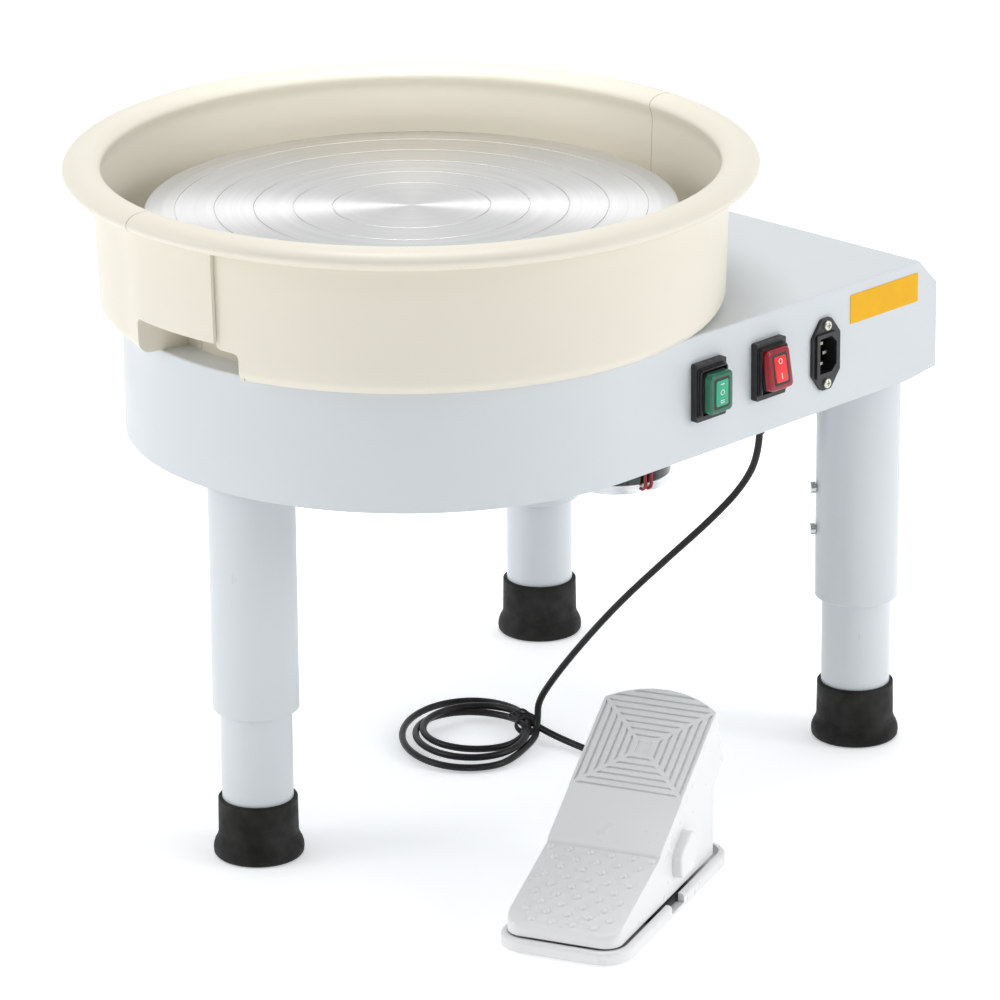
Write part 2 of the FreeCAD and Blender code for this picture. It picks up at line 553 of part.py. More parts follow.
oval_face = doc.addObject("Part::Face", "rim_section")
oval_face.Sources = [oval]
bead = doc.addObject("Part::Revolution", "rim_bead")
bead.Source, bead.Axis, bead.Base, bead.Angle, bead.Solid = oval_face, Vector(0, 0, 1), Vector(0, 0,
                                                                                               0), 360, True


def sector(inner, outer, low, high, start, angle):
    """Part of a ring, between two angles counted from the seam at its start."""
    (in_low, in_high), (out_low, out_high) = inner, outer
    return lathe([(in_low, low), (out_low, low), (out_high, high), (in_high, high)], angle, start)


WALL_SLOPE = "(wall_high_radius - wall_low_radius) / (rim_mid - shell_top)"
seams = ("seam_turn", "seam_turn + 180")
liners = [sector(("liner_radius",) * 2, ("wall_low_radius - 1",) * 2, f"{BASIN_LOW} + 1",
                 "notch_top + wall_thick",
                 f"{seam} + notch_from - 0.9", "notch_to - notch_from + 1.8") for seam in seams]
notches = [sector(("liner_radius + wall_thick",) * 2, ("rim_radius",) * 2, f"{BASIN_LOW} - 5", "notch_top",
                  f"{seam} + notch_from", "notch_to - notch_from") for seam in seams]
whole_basin = cut(fuse(ring_body, bead, *liners), *notches)
doc.recompute()
for name, turn in (("far_basin_half", "seam_turn"), ("near_basin_half", "seam_turn + 180")):
    side = block(("-300", "300"), ("seam_gap / 2", "300"), ("300", "480"), turn)
    end = f"{turn} + 180"
    tongue = sector((f"wall_low_radius + {WALL_SLOPE} * (tongue_low - shell_top) + 0.35",
                     f"wall_low_radius + {WALL_SLOPE} * (tongue_high - shell_top) + 0.35"),
                    (f"wall_low_radius + {WALL_SLOPE} * (tongue_low - shell_top) + 0.35 + tongue_thick",
                     f"wall_low_radius + {WALL_SLOPE} * (tongue_high - shell_top) + 0.35 + tongue_thick"),
                    "tongue_low", "tongue_high - 2.6", f"{end} - 0.05", "tongue_turn")
    root = sector(("wall_low_radius - 1",) * 2,
                  (f"wall_low_radius + {WALL_SLOPE} * (tongue_low - shell_top) + 0.35 + tongue_thick",
                   f"wall_low_radius + {WALL_SLOPE} * (tongue_high - shell_top) + 0.35 + tongue_thick"),
                  "tongue_low", "tongue_high - 2.6", f"{end} - tongue_root", "tongue_root - seam_gap / 10")
    node(name, fuse(common(whole_basin, side), root, tongue))

# ---- Switches, power inlet and label on the side panel

def panel_block(x, z, wide, high, front, back):
    """Box on the side panel: centred on (x, z), from front to back behind the panel's face."""
    return block((f"{x} - ({wide}) / 2", f"{x} + ({wide}) / 2"),
                 (f"{FACE} - ({front})", f"{FACE} + ({back})"),
                 (f"{z} - ({high}) / 2", f"{z} + ({high}) / 2"))


def along_panel(edge):
    """Edges that run straight out from the side panel."""
    first, last = edge.Vertexes[0].Point, edge.Vertexes[-1].Point
    return abs(first.x - last.x) + abs(first.z - last.z) < 0.01


def front_edges(face):
    """Edges in the plane of a piece's front face."""
    return lambda edge: abs(edge.BoundBox.YMin - face) < 0.01 and abs(edge.BoundBox.YMax - face) < 0.01


def rocker_pivot(x, reach, radius):
    """A pin through the rocker and into both sides of its frame."""
    return primitive("Cylinder", (f"{x} - {reach}", f"{FACE} - pin_deep", "switch_z"), (0, 1, 0), 90,
                     Radius=radius, Height=f"2 * {reach}")


for colour, x, tilt in (("green", "green_x", "0"), ("red", "red_x", "-red_tilt")):
    frame = fuse(rounded(panel_block(x, "switch_z", "plate_wide", "plate_high", "plate_deep", "0"), "1.2",
                         along_panel),
                 panel_block(x, "switch_z", "24", "30", "0", "switch_deep"))
    pocket = panel_block(x, "switch_z", "pocket_wide", "pocket_high", "plate_deep + boot_deep + 1", "6")
    node(f"{colour}_switch_frame", cut(frame, pocket, rocker_pivot(x, "12.9", "rocker_pin + 0.05")))
    boot = rounded(panel_block(x, "switch_z", "boot_wide", "boot_high", "plate_deep + boot_deep",
                               "-plate_deep"),
                   "2.5", along_panel)
    ring = rounded(panel_block(x, "switch_z", "boot_wide + 1.6", "boot_high + 1.6", "plate_deep + 1.2",
                               "-plate_deep"),
                   "2.8", along_panel)
    node(f"{colour}_switch_boot", cut(fuse(boot, ring), panel_block(x, "switch_z", "pocket_wide",
                                                                    "boot_pocket_high",
                                                                   "plate_deep + boot_deep + 1", "1")))
    cap = rounded(panel_block(x, "switch_z", "rocker_wide", "rocker_high", f"{colour}_out", "-rocker_in"),
                  "3.4",
                  along_panel)
    cap = rounded(cap, "1.6", front_edges(size(f"{FACE} - {colour}_out")))
    held = group(fuse(cap, rocker_pivot(x, "12.7", "rocker_pin")))
    pivot = Vector(size(x), size(f"{FACE} - pin_deep"), size("switch_z"))
    lean = FreeCAD.Rotation(Vector(1, 0, 0), size(tilt))
    held.Placement = FreeCAD.Placement(pivot, lean).multiply(FreeCAD.Placement(-pivot, FreeCAD.Rotation()))
    node(f"{colour}_rocker", held)


def panel_outline(points, x, z, front, back):
    """Pad an outline drawn on the side panel, from front to behind the panel's face."""
    return wall([(f"{x} + ({across})", f"{z} + ({up})") for across, up in points], f"({front}) + ({back})",
                ("0", f"{FACE} - (({front}) - ({back})) / 2", "0"))


lobes = [("-13.6", "-13"), ("-4.6", "-24.6"), ("4.6", "-24.6"), ("13.6", "-13"), ("13.6", "13"),
         ("4.6", "24.6"),
         ("-4.6", "24.6"), ("-13.6", "13")]
mouth = [("-8.2", "-12.2"), ("3.4", "-12.2"), ("8.2", "-7.6"), ("8.2", "7.6"), ("3.4", "12.2"),
         ("-8.2", "12.2")]
collar = [("-11", "-15"), ("7", "-15"), ("11", "-11"), ("11", "11"), ("7", "15"), ("-11", "15")]
inlet_body = fuse(rounded(panel_outline(lobes, "inlet_x", "inlet_z", "inlet_flange", "0"), "2.4",
                          along_panel),
                  panel_outline(collar, "inlet_x", "inlet_z", "inlet_flange + 1.6", "inlet_deep"))
inlet_holes = [primitive("Cylinder", ("inlet_x", FACE + " + 3", f"inlet_z {side} inlet_pitch / 2"), (1, 0, 0),
                         90,
                         Radius="1.6", Height="12") for side in "+-"]
node("power_inlet", cut(inlet_body, panel_outline(mouth, "inlet_x", "inlet_z", "inlet_flange + 3", "14.5"),
                        *inlet_holes))
blades = [panel_block(f"inlet_x + {across}", f"inlet_z + {up}", wide, high, "-1", "14.5")
          for across, up, wide, high in (("-2", "7", "4", "2"), ("2", "0", "4", "2"), ("-2", "-7", "4", "2"))]
node("inlet_pins", group(*blades))
screws = []
for side in "+-":
    height = f"inlet_z {side} inlet_pitch / 2"
    head = primitive("Cylinder", ("inlet_x", f"{FACE} - inlet_flange", height), (1, 0, 0), 90, Radius="3.4",
                     Height="1.9")
    head = rounded(head, "1", front_edges(size(f"{FACE} - inlet_flange - 1.9")))
    shank = primitive("Cylinder", ("inlet_x", f"{FACE} + 5", height), (1, 0, 0), 90, Radius="1.55",
                      Height="inlet_flange + 5")
    slots = [panel_block("inlet_x", height, wide, high, "inlet_flange + 3", "-inlet_flange - 0.9")
             for wide, high in (("3.6", "0.8"), ("0.8", "3.6"))]
    screws.append(cut(fuse(head, shank), *slots))
node("inlet_screws", group(*screws))
node("label_plate", rounded(panel_block("label_x", "label_z", "label_wide", "label_high", "label_thick", "0"),
                            "1",
                            along_panel))

# ---- Wiring box behind the panel, cord gland, speed controller

wiring = block(("wiring_from", "wiring_to"), ("-nose_radius + sheet_thick", "wiring_deep - nose_radius"),
               ("wiring_low", UNDER))
inner_wiring = block(("wiring_from + box_wall", "wiring_to - box_wall"),
                     ("-nose_radius", "wiring_deep - nose_radius - box_wall"),
                     ("wiring_low + box_wall", f"{UNDER} - box_wall"))
node("wiring_box", cut(wiring, inner_wiring, rod("6.05", "wiring_low - 1", "wiring_low + 5", "gland_x",
                                                 "gland_y")))
gland = lathe([("0", "gland_low"), ("3.4", "gland_low"), ("5.2", "wiring_low - 5"), ("9", "wiring_low - 5"),
               ("9", "wiring_low"), ("6", "wiring_low"), ("6", "wiring_low + box_wall"),
               ("8", "wiring_low + box_wall"),
               ("8", "wiring_low + box_wall + 5"), ("0", "wiring_low + box_wall + 5")])
node("cord_gland", place(group(gland), ("gland_x", "gland_y", "0")))
case_box = block(("case_x", "case_x + case_long"), ("case_y", "case_y + case_wide"), ("case_low", UNDER))
case_room = block(("case_x + box_wall", "case_x + case_long - box_wall"),
                  ("case_y + box_wall", "case_y + case_wide - box_wall"),
                  ("case_low + box_wall", f"{UNDER} - box_wall"))
vents = [block((f"case_x + {12 + 8 * step}", f"case_x + {15 + 8 * step}"), ("case_y - 1", "case_y + 5"),
               ("case_low + 12", "case_low + 30")) for step in range(10)]
node("controller_case", cut(case_box, case_room, *vents))
board = block(("case_x + 6", "case_x + case_long - 6"), ("case_y + 5", "case_y + case_wide - 5"),
              ("case_low + 6", "case_low + 7.6"))
sink = [block((f"case_x + {14 + 5 * step}", f"case_x + {16 + 5 * step}"), ("case_y + 10", "case_y + 40"),
              ("case_low + 11", "case_low + 30")) for step in range(6)]
sink_base = block(("case_x + 14", "case_x + 41"), ("case_y + 10", "case_y + 40"),
                  ("case_low + 7.6", "case_low + 11"))
caps = [rod("7", "case_low + 7.6", "case_low + 28", f"case_x + {58 + 17 * step}", "case_y + 24")
        for step in range(2)]
legs_of_board = [rod("2.5", "case_low + box_wall", "case_low + 6", f"case_x + {x}", f"case_y + {y}")
                 for x in (10, 90) for y in (9, 53)]
node("controller_board", fuse(board, sink_base, *sink, *caps, *legs_of_board))

# ---- Foot pedal: a tray with two lugs inside that carry the pin of the rocking treadle

HALF = "pedal_wide / 2"
tray = rounded(block(("-pedal_heel", "pedal_toe"), (f"-{HALF}", HALF), ("pedal_low", "pedal_rim")),
               "pedal_corner", upright)
tray = rounded(tray, "rim_round", lambda edge: abs(edge.BoundBox.ZMin - size("pedal_rim")) < 0.01)
well = rounded(block(("-pedal_heel + rim_wide", "pedal_toe - rim_wide"),
                     (f"-{HALF} + rim_wide", f"{HALF} - rim_wide"), ("tray_floor", "pedal_rim + 5")),
               "pedal_corner - rim_wide", upright)
rim_gaps = block(("gap_from", "gap_to"), ("-60", "60"), ("tray_floor", "pedal_rim + 5"))
lug_outline = [("-2", "tray_floor - 1"), ("18", "tray_floor - 1"), ("18", "pivot_z"), ("15", "pivot_z + 7"),
               ("pivot_x", "pivot_z + 10"), ("1", "pivot_z + 7"), ("-2", "pivot_z")]
lugs = [wall(lug_outline, "lug_thick", ("0", f"{side} * (lug_from + lug_thick / 2)", "0"))
        for side in (1, -1)]
pin_hole = primitive("Cylinder", ("pivot_x", "60", "pivot_z"), (1, 0, 0), 90,
                     Radius="pin_radius + 0.02", Height="120")
node("pedal_base", cut(fuse(cut(tray, well, rim_gaps), *lugs), pin_hole), "pedal")
node("pedal_pin", primitive("Cylinder", ("pivot_x", "pin_reach", "pivot_z"), (1, 0, 0), 90,
                            Radius="pin_radius", Height="2 * pin_reach"), "pedal")
pad_places = [("-80", "26"), ("-80", "-26"), ("72", "26"), ("72", "-26")]
node("pedal_pads", group(*[rod("7", "0", "pedal_low", x, y) for x, y in pad_places]), "pedal")

HEEL, STEP = "-100", "-24"
slope = "0.61"
tread_outline = [(HEEL, "tread_low"), (HEEL, "17"), ("-98", "19.5"), (STEP, "44.5"), (STEP, "47"),
                 ("112", f"47 + {slope} * 136"), ("112", "68"), ("85.5", "69.5"), ("71", "57"),
                 ("69.5", "tread_low")]
solid_tread = wall(tread_outline, "2 * tread_half")
drum = primitive("Cylinder", ("0", "0", "-140"), Radius="toe_round", Height="200")
drum = turned_about(drum, "-toe_lean", ("toe_reach - toe_round", "0", "toe_high"), (0, 1, 0))


def heel_edge(edge):
    """An upright edge at the treadle's heel."""
    return upright(edge) and edge.BoundBox.XMax < -90


body_half = rounded(block((HEEL, "65"), ("-tread_half", "tread_half"), ("0", "140")), "heel_corner",
                    heel_edge)
shaped = common(solid_tread, fuse(body_half, drum))
doc.recompute()


def long_top(edge):
    """The treadle's long upper side edges and its curved toe edge."""
    box = edge.BoundBox
    beside_wall = abs(abs(box.YMin) - size("tread_half")) < 0.01 and abs(box.YMax - box.YMin) < 0.01
    return (beside_wall and box.XLength > 20 and box.ZMin > 15) or (box.ZMin > 109 and box.YLength > 30)


soft_tread = rounded(shaped, "1.8", long_top)
cavity = wall([("-92.5", "tread_low - 1"), ("-92.5", "16"), (STEP, "40.5"), (STEP, "43.5"),
               ("66", f"43.5 + {slope} * 90"), ("68", "62"), ("66.5", "57"), ("66.5", "tread_low - 1")],
              "2 * (tread_half - tread_skin)")
cheek_outline = [("0", "22"), ("-2.5", "27"), ("-2.5", "38.5"), ("1", "41.5"), ("14", "49"), ("20", "48"),
                 ("25", "41"), ("25", "28"), ("21", "22")]
cheeks = []
for side in (1, -1):
    cheek = wall(cheek_outline, "cheek_thick", ("0", f"{side} * (cheek_from + cheek_thick / 2)", "0"))
    outer = side * size("cheek_from + cheek_thick")
    cheeks.append(rounded(cheek, "1.8", lambda edge, outer=outer: abs(edge.BoundBox.YMin - outer) < 0.01 and
                          abs(edge.BoundBox.YMax - outer) < 0.01))
spring_post = wall([("36", "42"), ("56", "42"), ("56", "94"), ("36", "82")], "20")
lead_arch = block(("64", "74"), ("-22", "-2"), ("10", "18.5"))
tread_hole = primitive("Cylinder", ("pivot_x", "pin_reach + 0.2", "pivot_z"), (1, 0, 0), 90,
                       Radius="pin_radius + 0.06", Height="2 * (pin_reach + 0.2)")
node("pedal_treadle", cut(fuse(cut(soft_tread, cavity), *cheeks, spring_post), tread_hole, lead_arch),
     "pedal")
node("pedal_spring", cut(rod("7", "tray_floor", "41.7", "46"), rod("5.6", "tray_floor - 1", "43", "46")),
     "pedal")
node("pedal_sensor", fuse(block(("-64", "-40"), ("-10", "10"), ("tray_floor", "20")),
                          rod("5", "20", "24", "-52")),
     "pedal")
relief = primitive("Cone", ("pedal_toe", "10", "6.2"), (0, 1, 0), 90,
                   Radius1="4.4", Radius2="3.1", Height="117 - pedal_toe")
node("pedal_relief", relief, "pedal")
lead_route = [(89, 9, 6.6), (78, 2, 6.6), (62, -16, 6.6), (44, -29, 6.6), (22, -37, 6.6), (-8, -37.7, 6.6),
              (-36, -35, 6.6), (-55, -24, 6.8), (-60, -12, 7.6)]
node("pedal_lead", routed("lead", lead_route, "cord_radius"), "pedal")

# ---- Cord from the gland, down to a tied coil on the floor, and on to the pedal

drop_route = [(158, -165, 252), (157.8, -164, 234), (155, -151, 210), (149.5, -128, 183), (142.5, -97, 151),
              (134.5, -60, 112), (127.5, -29, 74), (122.8, -7, 44), (119.6, 5, 23), (117.6, 10.4, 13.5)]
node("pedal_cord", routed("cord", drop_route, "cord_radius"))
floor_route = [(118, 4, 8.5), (121.5, -17, 4.4), (122, -46, 2.6), (118, -80, 2.5), (110, -113, 2.5),
               (97, -142, 2.5),
               (81, -162.5, 3), (68.7, -173.1, 5.2), (56.5, -177.6, 6.2)]
node("pedal_cord_tail", routed("cord", floor_route, "cord_radius"))


def oval_slab(long_half, wide_half, shift, low, high):
    """An upright oval column, its longer axis across the seen width of the coil."""
    ring = primitive("Ellipse", (shift, "0", low), (0, 0, 1), 90, MajorRadius=long_half,
                     MinorRadius=wide_half)
    lift = doc.addObject("Part::Extrusion", "oval")
    lift.Base, lift.Dir, lift.Solid = ring, Vector(0, 0, size(f"{high} - ({low})")), True
    return lift


coil = cut(oval_slab("coil_long", "coil_wide", "0", "0", "coil_high"),
           oval_slab("coil_hole_long", "coil_hole_wide", "coil_hole_shift", "-1", "coil_high + 1"))
node("pedal_cord_coil", place(group(coil), ("coil_x", "coil_y", "0"), turn="coil_turn"))
tie = cut(block(("coil_wide - 14.5", "coil_wide + 1.5"), ("-4", "4"), ("0.2", "coil_high + 2")),
          block(("coil_wide - 13", "coil_wide"), ("-5", "5"), ("-1", "coil_high")))
node("cord_tie", place(group(tie), ("coil_x", "coil_y", "0"), turn="coil_turn"))

# ---- Check and write

doc.recompute()
for thing in doc.Objects:
    if "Invalid" in thing.State or "Error" in thing.State:
        raise RuntimeError(f"{thing.Name} ({thing.Label}) failed: {thing.State}")
for label, piece in NODES.items():
    if piece.Shape.isNull() or not piece.Shape.isValid() or not piece.Shape.Solids:
        raise RuntimeError(f"{label} has no valid solid")
os.makedirs("parts", exist_ok=True)
for label, piece in NODES.items():
    piece.Shape.exportStep(f"parts/{label}.step")
    print(f"{label:22s} solids {len(piece.Shape.Solids):2d} volume {piece.Shape.Volume / 1000:9.2f} cm3")
whole = Part.makeCompound([piece.Shape for piece in NODES.values()]).BoundBox
print("nodes", len(NODES), "box", whole)
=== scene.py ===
import json
import math

import bmesh
import bpy
from mathutils import Matrix, Vector


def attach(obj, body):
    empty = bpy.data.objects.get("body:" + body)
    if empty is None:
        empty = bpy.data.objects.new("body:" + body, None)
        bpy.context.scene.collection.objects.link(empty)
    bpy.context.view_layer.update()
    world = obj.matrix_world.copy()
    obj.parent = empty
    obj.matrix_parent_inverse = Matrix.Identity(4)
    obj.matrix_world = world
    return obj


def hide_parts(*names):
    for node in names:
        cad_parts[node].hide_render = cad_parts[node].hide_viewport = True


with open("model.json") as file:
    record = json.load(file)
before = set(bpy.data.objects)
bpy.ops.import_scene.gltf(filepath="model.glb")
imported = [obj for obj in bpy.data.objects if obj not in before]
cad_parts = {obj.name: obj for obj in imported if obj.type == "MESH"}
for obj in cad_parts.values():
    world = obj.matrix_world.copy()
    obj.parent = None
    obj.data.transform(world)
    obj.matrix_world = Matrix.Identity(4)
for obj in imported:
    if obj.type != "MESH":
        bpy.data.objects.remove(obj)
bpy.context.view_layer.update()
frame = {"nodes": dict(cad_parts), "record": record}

# Studio: one camera, a pale floor and soft lights.
# The camera stands about four metres off, a little above the basin's rim, and looks
# down along the near side of the housing.
mounts = {mount["name"]: mount for mount in frame["record"]["mounts"]}
spindle_x, spindle_y = mounts["wheel_head_face"]["pos_m"][:2]
MM = 0.001


def spot(x, y, z):
    """A place given in millimetres from the spindle's axis and the floor."""
    return Vector((spindle_x + x * MM, spindle_y + y * MM, z * MM))


camera_turn, camera_rise, camera_roll = math.radians(-45.92), math.radians(19.57), math.radians(-0.45)
camera_away, camera_aim = 4.076, (80.78, 0, 185.19)
toward_camera = Vector((math.sin(camera_turn) * math.cos(camera_rise),
                        -math.cos(camera_turn) * math.cos(camera_rise), math.sin(camera_rise)))
level_right = Vector((math.cos(camera_turn), math.sin(camera_turn), 0))
level_up = level_right.cross(-toward_camera)
camera_right = level_right * math.cos(camera_roll) + level_up * math.sin(camera_roll)
camera_up = level_up * math.cos(camera_roll) - level_right * math.sin(camera_roll)
camera_data = bpy.data.cameras.new("camera")
camera_data.sensor_width = 36
camera_data.lens = 217.32
camera_data.clip_end = 60
camera = bpy.data.objects.new("camera", camera_data)
bpy.context.scene.collection.objects.link(camera)
camera.matrix_world = Matrix.Translation(spot(*camera_aim) + toward_camera * camera_away) @ Matrix(
    (camera_right, camera_up, toward_camera)).transposed().to_4x4()
bpy.context.scene.camera = camera
bpy.context.scene.view_settings.view_transform = "Standard"


def stand(lamp_data, away, aim):
    """Put a lamp on its stand and turn it towards a place."""
    lamp = bpy.data.objects.new(lamp_data.name, lamp_data)
    bpy.context.scene.collection.objects.link(lamp)
    lamp.location = spot(*away)
    lamp.rotation_euler = (spot(*aim) - lamp.location).to_track_quat("-Z", "Y").to_euler()


def soft_box(name, away, size, watts):
    """A square soft box that faces the wheel."""
    box = bpy.data.lights.new(name, "AREA")
    box.shape = "SQUARE"
    box.size = size
    box.energy = watts
    stand(box, away, (0, 0, 300))


soft_box("left_box", (-2500, 1500, 1500), 1.3, 20)
soft_box("right_box", (1700, -2900, 1500), 1.3, 27)
soft_box("top_box", (350, 340, 3300), 1.3, 35)
soft_box("back_box", (2300, 2230, 1500), 0.5, 0.3)
# a narrow spot over the camera lights the far wall inside the basin
basin_spot = bpy.data.lights.new("basin_spot", "SPOT")
basin_spot.energy = 145
basin_spot.spot_size = math.radians(9.0)
basin_spot.spot_blend = 0.7
basin_spot.shadow_soft_size = 0.05
stand(basin_spot, (-1220, -1183, 2300), (76, 73, 384))
world = bpy.data.worlds.new("studio_air")
bpy.context.scene.world = world
world.use_nodes = True
# the air is dimmer on the camera's side, so that rounded faces turn darker towards it
air = world.node_tree
air_color = (0.97, 0.985, 1.0, 1)
air.nodes["Background"].inputs["Color"].default_value = air_color
direction = air.nodes.new("ShaderNodeTexCoord")
facing = air.nodes.new("ShaderNodeVectorMath")
facing.operation = "DOT_PRODUCT"
facing.inputs[1].default_value = (toward_camera - Vector((0, 0, 0.62))).normalized()
fade = air.nodes.new("ShaderNodeMapRange")
for socket, value in (("From Min", 0.0), ("From Max", 0.95), ("To Min", 0.78), ("To Max", 0.20)):
    fade.inputs[socket].default_value = value
air.links.new(direction.outputs["Generated"], facing.inputs[0])
air.links.new(facing.outputs["Value"], fade.inputs["Value"])
air.links.new(fade.outputs["Result"], air.nodes["Background"].inputs["Strength"])


def new_object(name, mesh, at=(0, 0, 0)):
    thing = bpy.data.objects.new(name, mesh)
    thing.location = at
    bpy.context.scene.collection.objects.link(thing)
    return thing


floor_mesh = bpy.data.meshes.new("studio_floor")
floor_mesh.from_pydata([(-14, -14, 0), (14, -14, 0), (14, 14, 0), (-14, 14, 0)], [], [(0, 1, 2, 3)])
studio_floor = new_object("studio_floor", floor_mesh, (0, 0, -0.0006))


class Finish:
    """A node material: its shader, and the noise, colour and bump that each finish adds."""

    def __init__(self, name, color, roughness, metallic=0.0, **shader_values):
        self.material = bpy.data.materials.new(name)
        self.material.use_nodes = True
        self.nodes = self.material.node_tree.nodes
        self.links = self.material.node_tree.links
        self.shader = self.nodes["Principled BSDF"]
        self.color = (*color, 1)
        self.set(**{"Base Color": self.color, "Roughness": roughness, "Metallic": metallic})
        self.set(**shader_values)

    def set(self, **values):
        for socket, value in values.items():
            self.shader.inputs[socket.replace("_", " ")].default_value = value

    def node(self, kind, **values):
        made = self.nodes.new("ShaderNode" + kind)
        for name, value in values.items():
            if name in made.inputs:
                made.inputs[name].default_value = value
            else:
                setattr(made, name, value)
        return made

    def place(self, stretch=(1, 1, 1)):
        """Texture space in metres on the piece."""
        space = self.node("TexCoord")
        fit = self.node("Mapping")
        fit.inputs["Scale"].default_value = stretch
        self.links.new(space.outputs["Object"], fit.inputs["Vector"])
        return fit.outputs["Vector"]

    def noise(self, scale, detail=3.0, stretch=(1, 1, 1)):
        made = self.node("TexNoise", Scale=scale, Detail=detail, Roughness=0.55)
        self.links.new(self.place(stretch), made.inputs["Vector"])
        return made.outputs["Fac"]

    def ramp(self, value, stops):
        made = self.node("ValToRGB")
        band = made.color_ramp
        while len(band.elements) < len(stops):
            band.elements.new(0.5)
        for stop, (where, color) in zip(band.elements, stops):
            stop.position = where
            stop.color = (*color, 1) if hasattr(color, "__len__") else (color, color, color, 1)
        self.links.new(value, made.inputs["Fac"])
        return made.outputs["Color"]

    def tint(self, value, low, high, color=None):
        """Vary the base colour between two strengths of it, or towards another colour."""
        near = tuple(part * low for part in self.color[:3])
        far = tuple(min(1, part * high) for part in (color or self.color[:3]))
        self.links.new(self.ramp(value, [(0.3, near), (0.7, far)]), self.shader.inputs["Base Color"])

    def gloss(self, value, low, high):
        self.links.new(self.ramp(value, [(0.3, low), (0.7, high)]), self.shader.inputs["Roughness"])

    def bump(self, value, height, strength=1.0):
        made = self.node("Bump", Strength=strength, Distance=height)
        self.links.new(value, made.inputs["Height"])
        last = self.shader.inputs["Normal"]
        if last.is_linked:
            self.links.new(last.links[0].from_socket, made.inputs["Normal"])
        self.links.new(made.outputs["Normal"], last)


floor_paper = Finish("floor_paper", (0.93, 0.93, 0.93), 0.9)
floor_paper.tint(floor_paper.noise(1.2), 0.99, 1.0)
floor_paper.set(Emission_Color=air_color, Emission_Strength=0.36)
floor_mesh.materials.append(floor_paper.material)

# Pedal cord: 4.8 mm black PVC flex from the gland under the switches to the foot pedal.
# It hangs down to a tied coil of three loose turns on the floor, and runs on to the
# pedal's strain relief.
cord_line = [(158, -165, 252), (157.8, -164, 234), (155, -151, 210), (149.5, -128, 183), (142.5, -97, 151),
             (134.5, -60, 112), (127.5, -29, 74), (122.8, -7, 44), (120.0, 2.8, 27)]
coil_x, coil_y = 85, 37
across = Vector((0.6947, -0.7193))
deep = Vector((0.7193, 0.6947))


def on_coil(along, depth, high):
    """A place by the coil: to its right, away from the camera, and over the floor."""
    point = Vector((coil_x, coil_y)) + across * along + deep * depth
    return (point.x, point.y, high)


cord_line += [on_coil(48.5, 3.2, 15), on_coil(47.8, -1.5, 7.6), on_coil(46.3, -10, 3.8)]
# each loose turn: half width, half depth, shift across, shift in depth, height over the floor
loose_turns = [(47.5, 59.5, -0.8, -3.5, 2.5), (44.5, 56.5, 0.5, 1.5, 7.0), (35.5, 33.5, 6.5, -3.0, 6.6),
               (38.0, 40.0, 4.0, 0.0, 10.5)]
turn_points = 14
for step in range(1, 3 * turn_points):
    turn = step / turn_points
    before = int(turn)
    share = turn - before
    share = share * share * (3 - 2 * share)
    wide, far, aside, back, high = (
        one + (two - one) * share for one, two in zip(loose_turns[before], loose_turns[before + 1]))
    angle = -2 * math.pi * turn
    if angle > -0.5:
        continue
    tied = max(0, math.cos(angle)) ** 6
    cord_line.append(on_coil(aside + wide * math.cos(angle) * (1 - 0.05 * tied), back + far * math.sin(angle),
                             high + 2.4 * tied))
cord_line += [(118.5, 3, 9.0), (121.5, -17, 4.4), (122, -46, 2.6), (118, -80, 2.5), (110, -113, 2.5),
              (97, -142, 2.5), (81, -162.5, 3), (68.7, -173.1, 5.2), (56.5, -177.6, 6.2)]


def bent_line(name, points, radius, resolution=10):
    """A round wire or cord that follows one smooth spline."""
    data = bpy.data.curves.new(name, "CURVE")
    data.dimensions = "3D"
    data.bevel_depth = radius * MM
    data.bevel_resolution = 6
    data.use_fill_caps = True
    data.resolution_u = resolution
    spline = data.splines.new("NURBS")
    spline.points.add(len(points) - 1)
    for place, point in zip(spline.points, points):
        place.co = (*spot(*point), 1)
    spline.order_u = 3
    spline.use_endpoint_u = True
    return new_object(name, data)


pedal_cord = bent_line("pedal_cord_line", cord_line, 2.4)
cord_pvc = Finish("cord_pvc", (0.006, 0.006, 0.0055), 0.34, Specular_IOR_Level=0.32)
cord_pvc.gloss(cord_pvc.noise(140), 0.28, 0.42)
cord_pvc.bump(cord_pvc.noise(2200, 2), 0.00003, 0.5)
cord_pvc.tint(cord_pvc.noise(30), 0.8, 1.5)
pedal_cord.data.materials.append(cord_pvc.material)
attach(pedal_cord, "body")
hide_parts("pedal_cord", "pedal_cord_tail", "pedal_cord_coil")

# Twist tie: a thin plastic-covered wire wound twice round the bundle, its ends twisted
# together and bent over.
tie_line = []
for step in range(31):
    angle = 2 * math.pi * step / 10
    out = 8.0 + 0.6 * math.sin(step * 1.7)
    tie_line.append(on_coil(41 + out * math.cos(angle), 0.5 + 12 * step / 30, 8.4 + 7.2 * math.sin(angle)))
for step in range(17):
    angle = 2 * math.pi * step / 5
    tie_line.append(on_coil(38 - step * 0.6 + 2.2 * math.cos(angle), 11 - step * 0.7 + 1.6 * math.sin(angle),
                            16.6 + 0.9 * math.sin(angle)))
twist_tie = bent_line("twist_tie", tie_line, 0.75, 8)
tie_plastic = Finish("tie_plastic", (0.010, 0.010, 0.011), 0.45)
tie_plastic.tint(tie_plastic.noise(400), 0.8, 1.6)
tie_plastic.bump(tie_plastic.noise(1500), 0.00004, 0.5)
twist_tie.data.materials.append(tie_plastic.material)
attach(twist_tie, "body")
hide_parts("cord_tie")

# Housing: 1.5 mm sheet steel, folded, welded and powder coated a cool white. The same
# coat covers the motor bracket and the boxes under the top plate.


def coat(names, finish):
    """Give finished nodes from the frame their material."""
    for name in names:
        part = frame["nodes"][name]
        part.data.materials.clear()
        part.data.materials.append(finish.material)


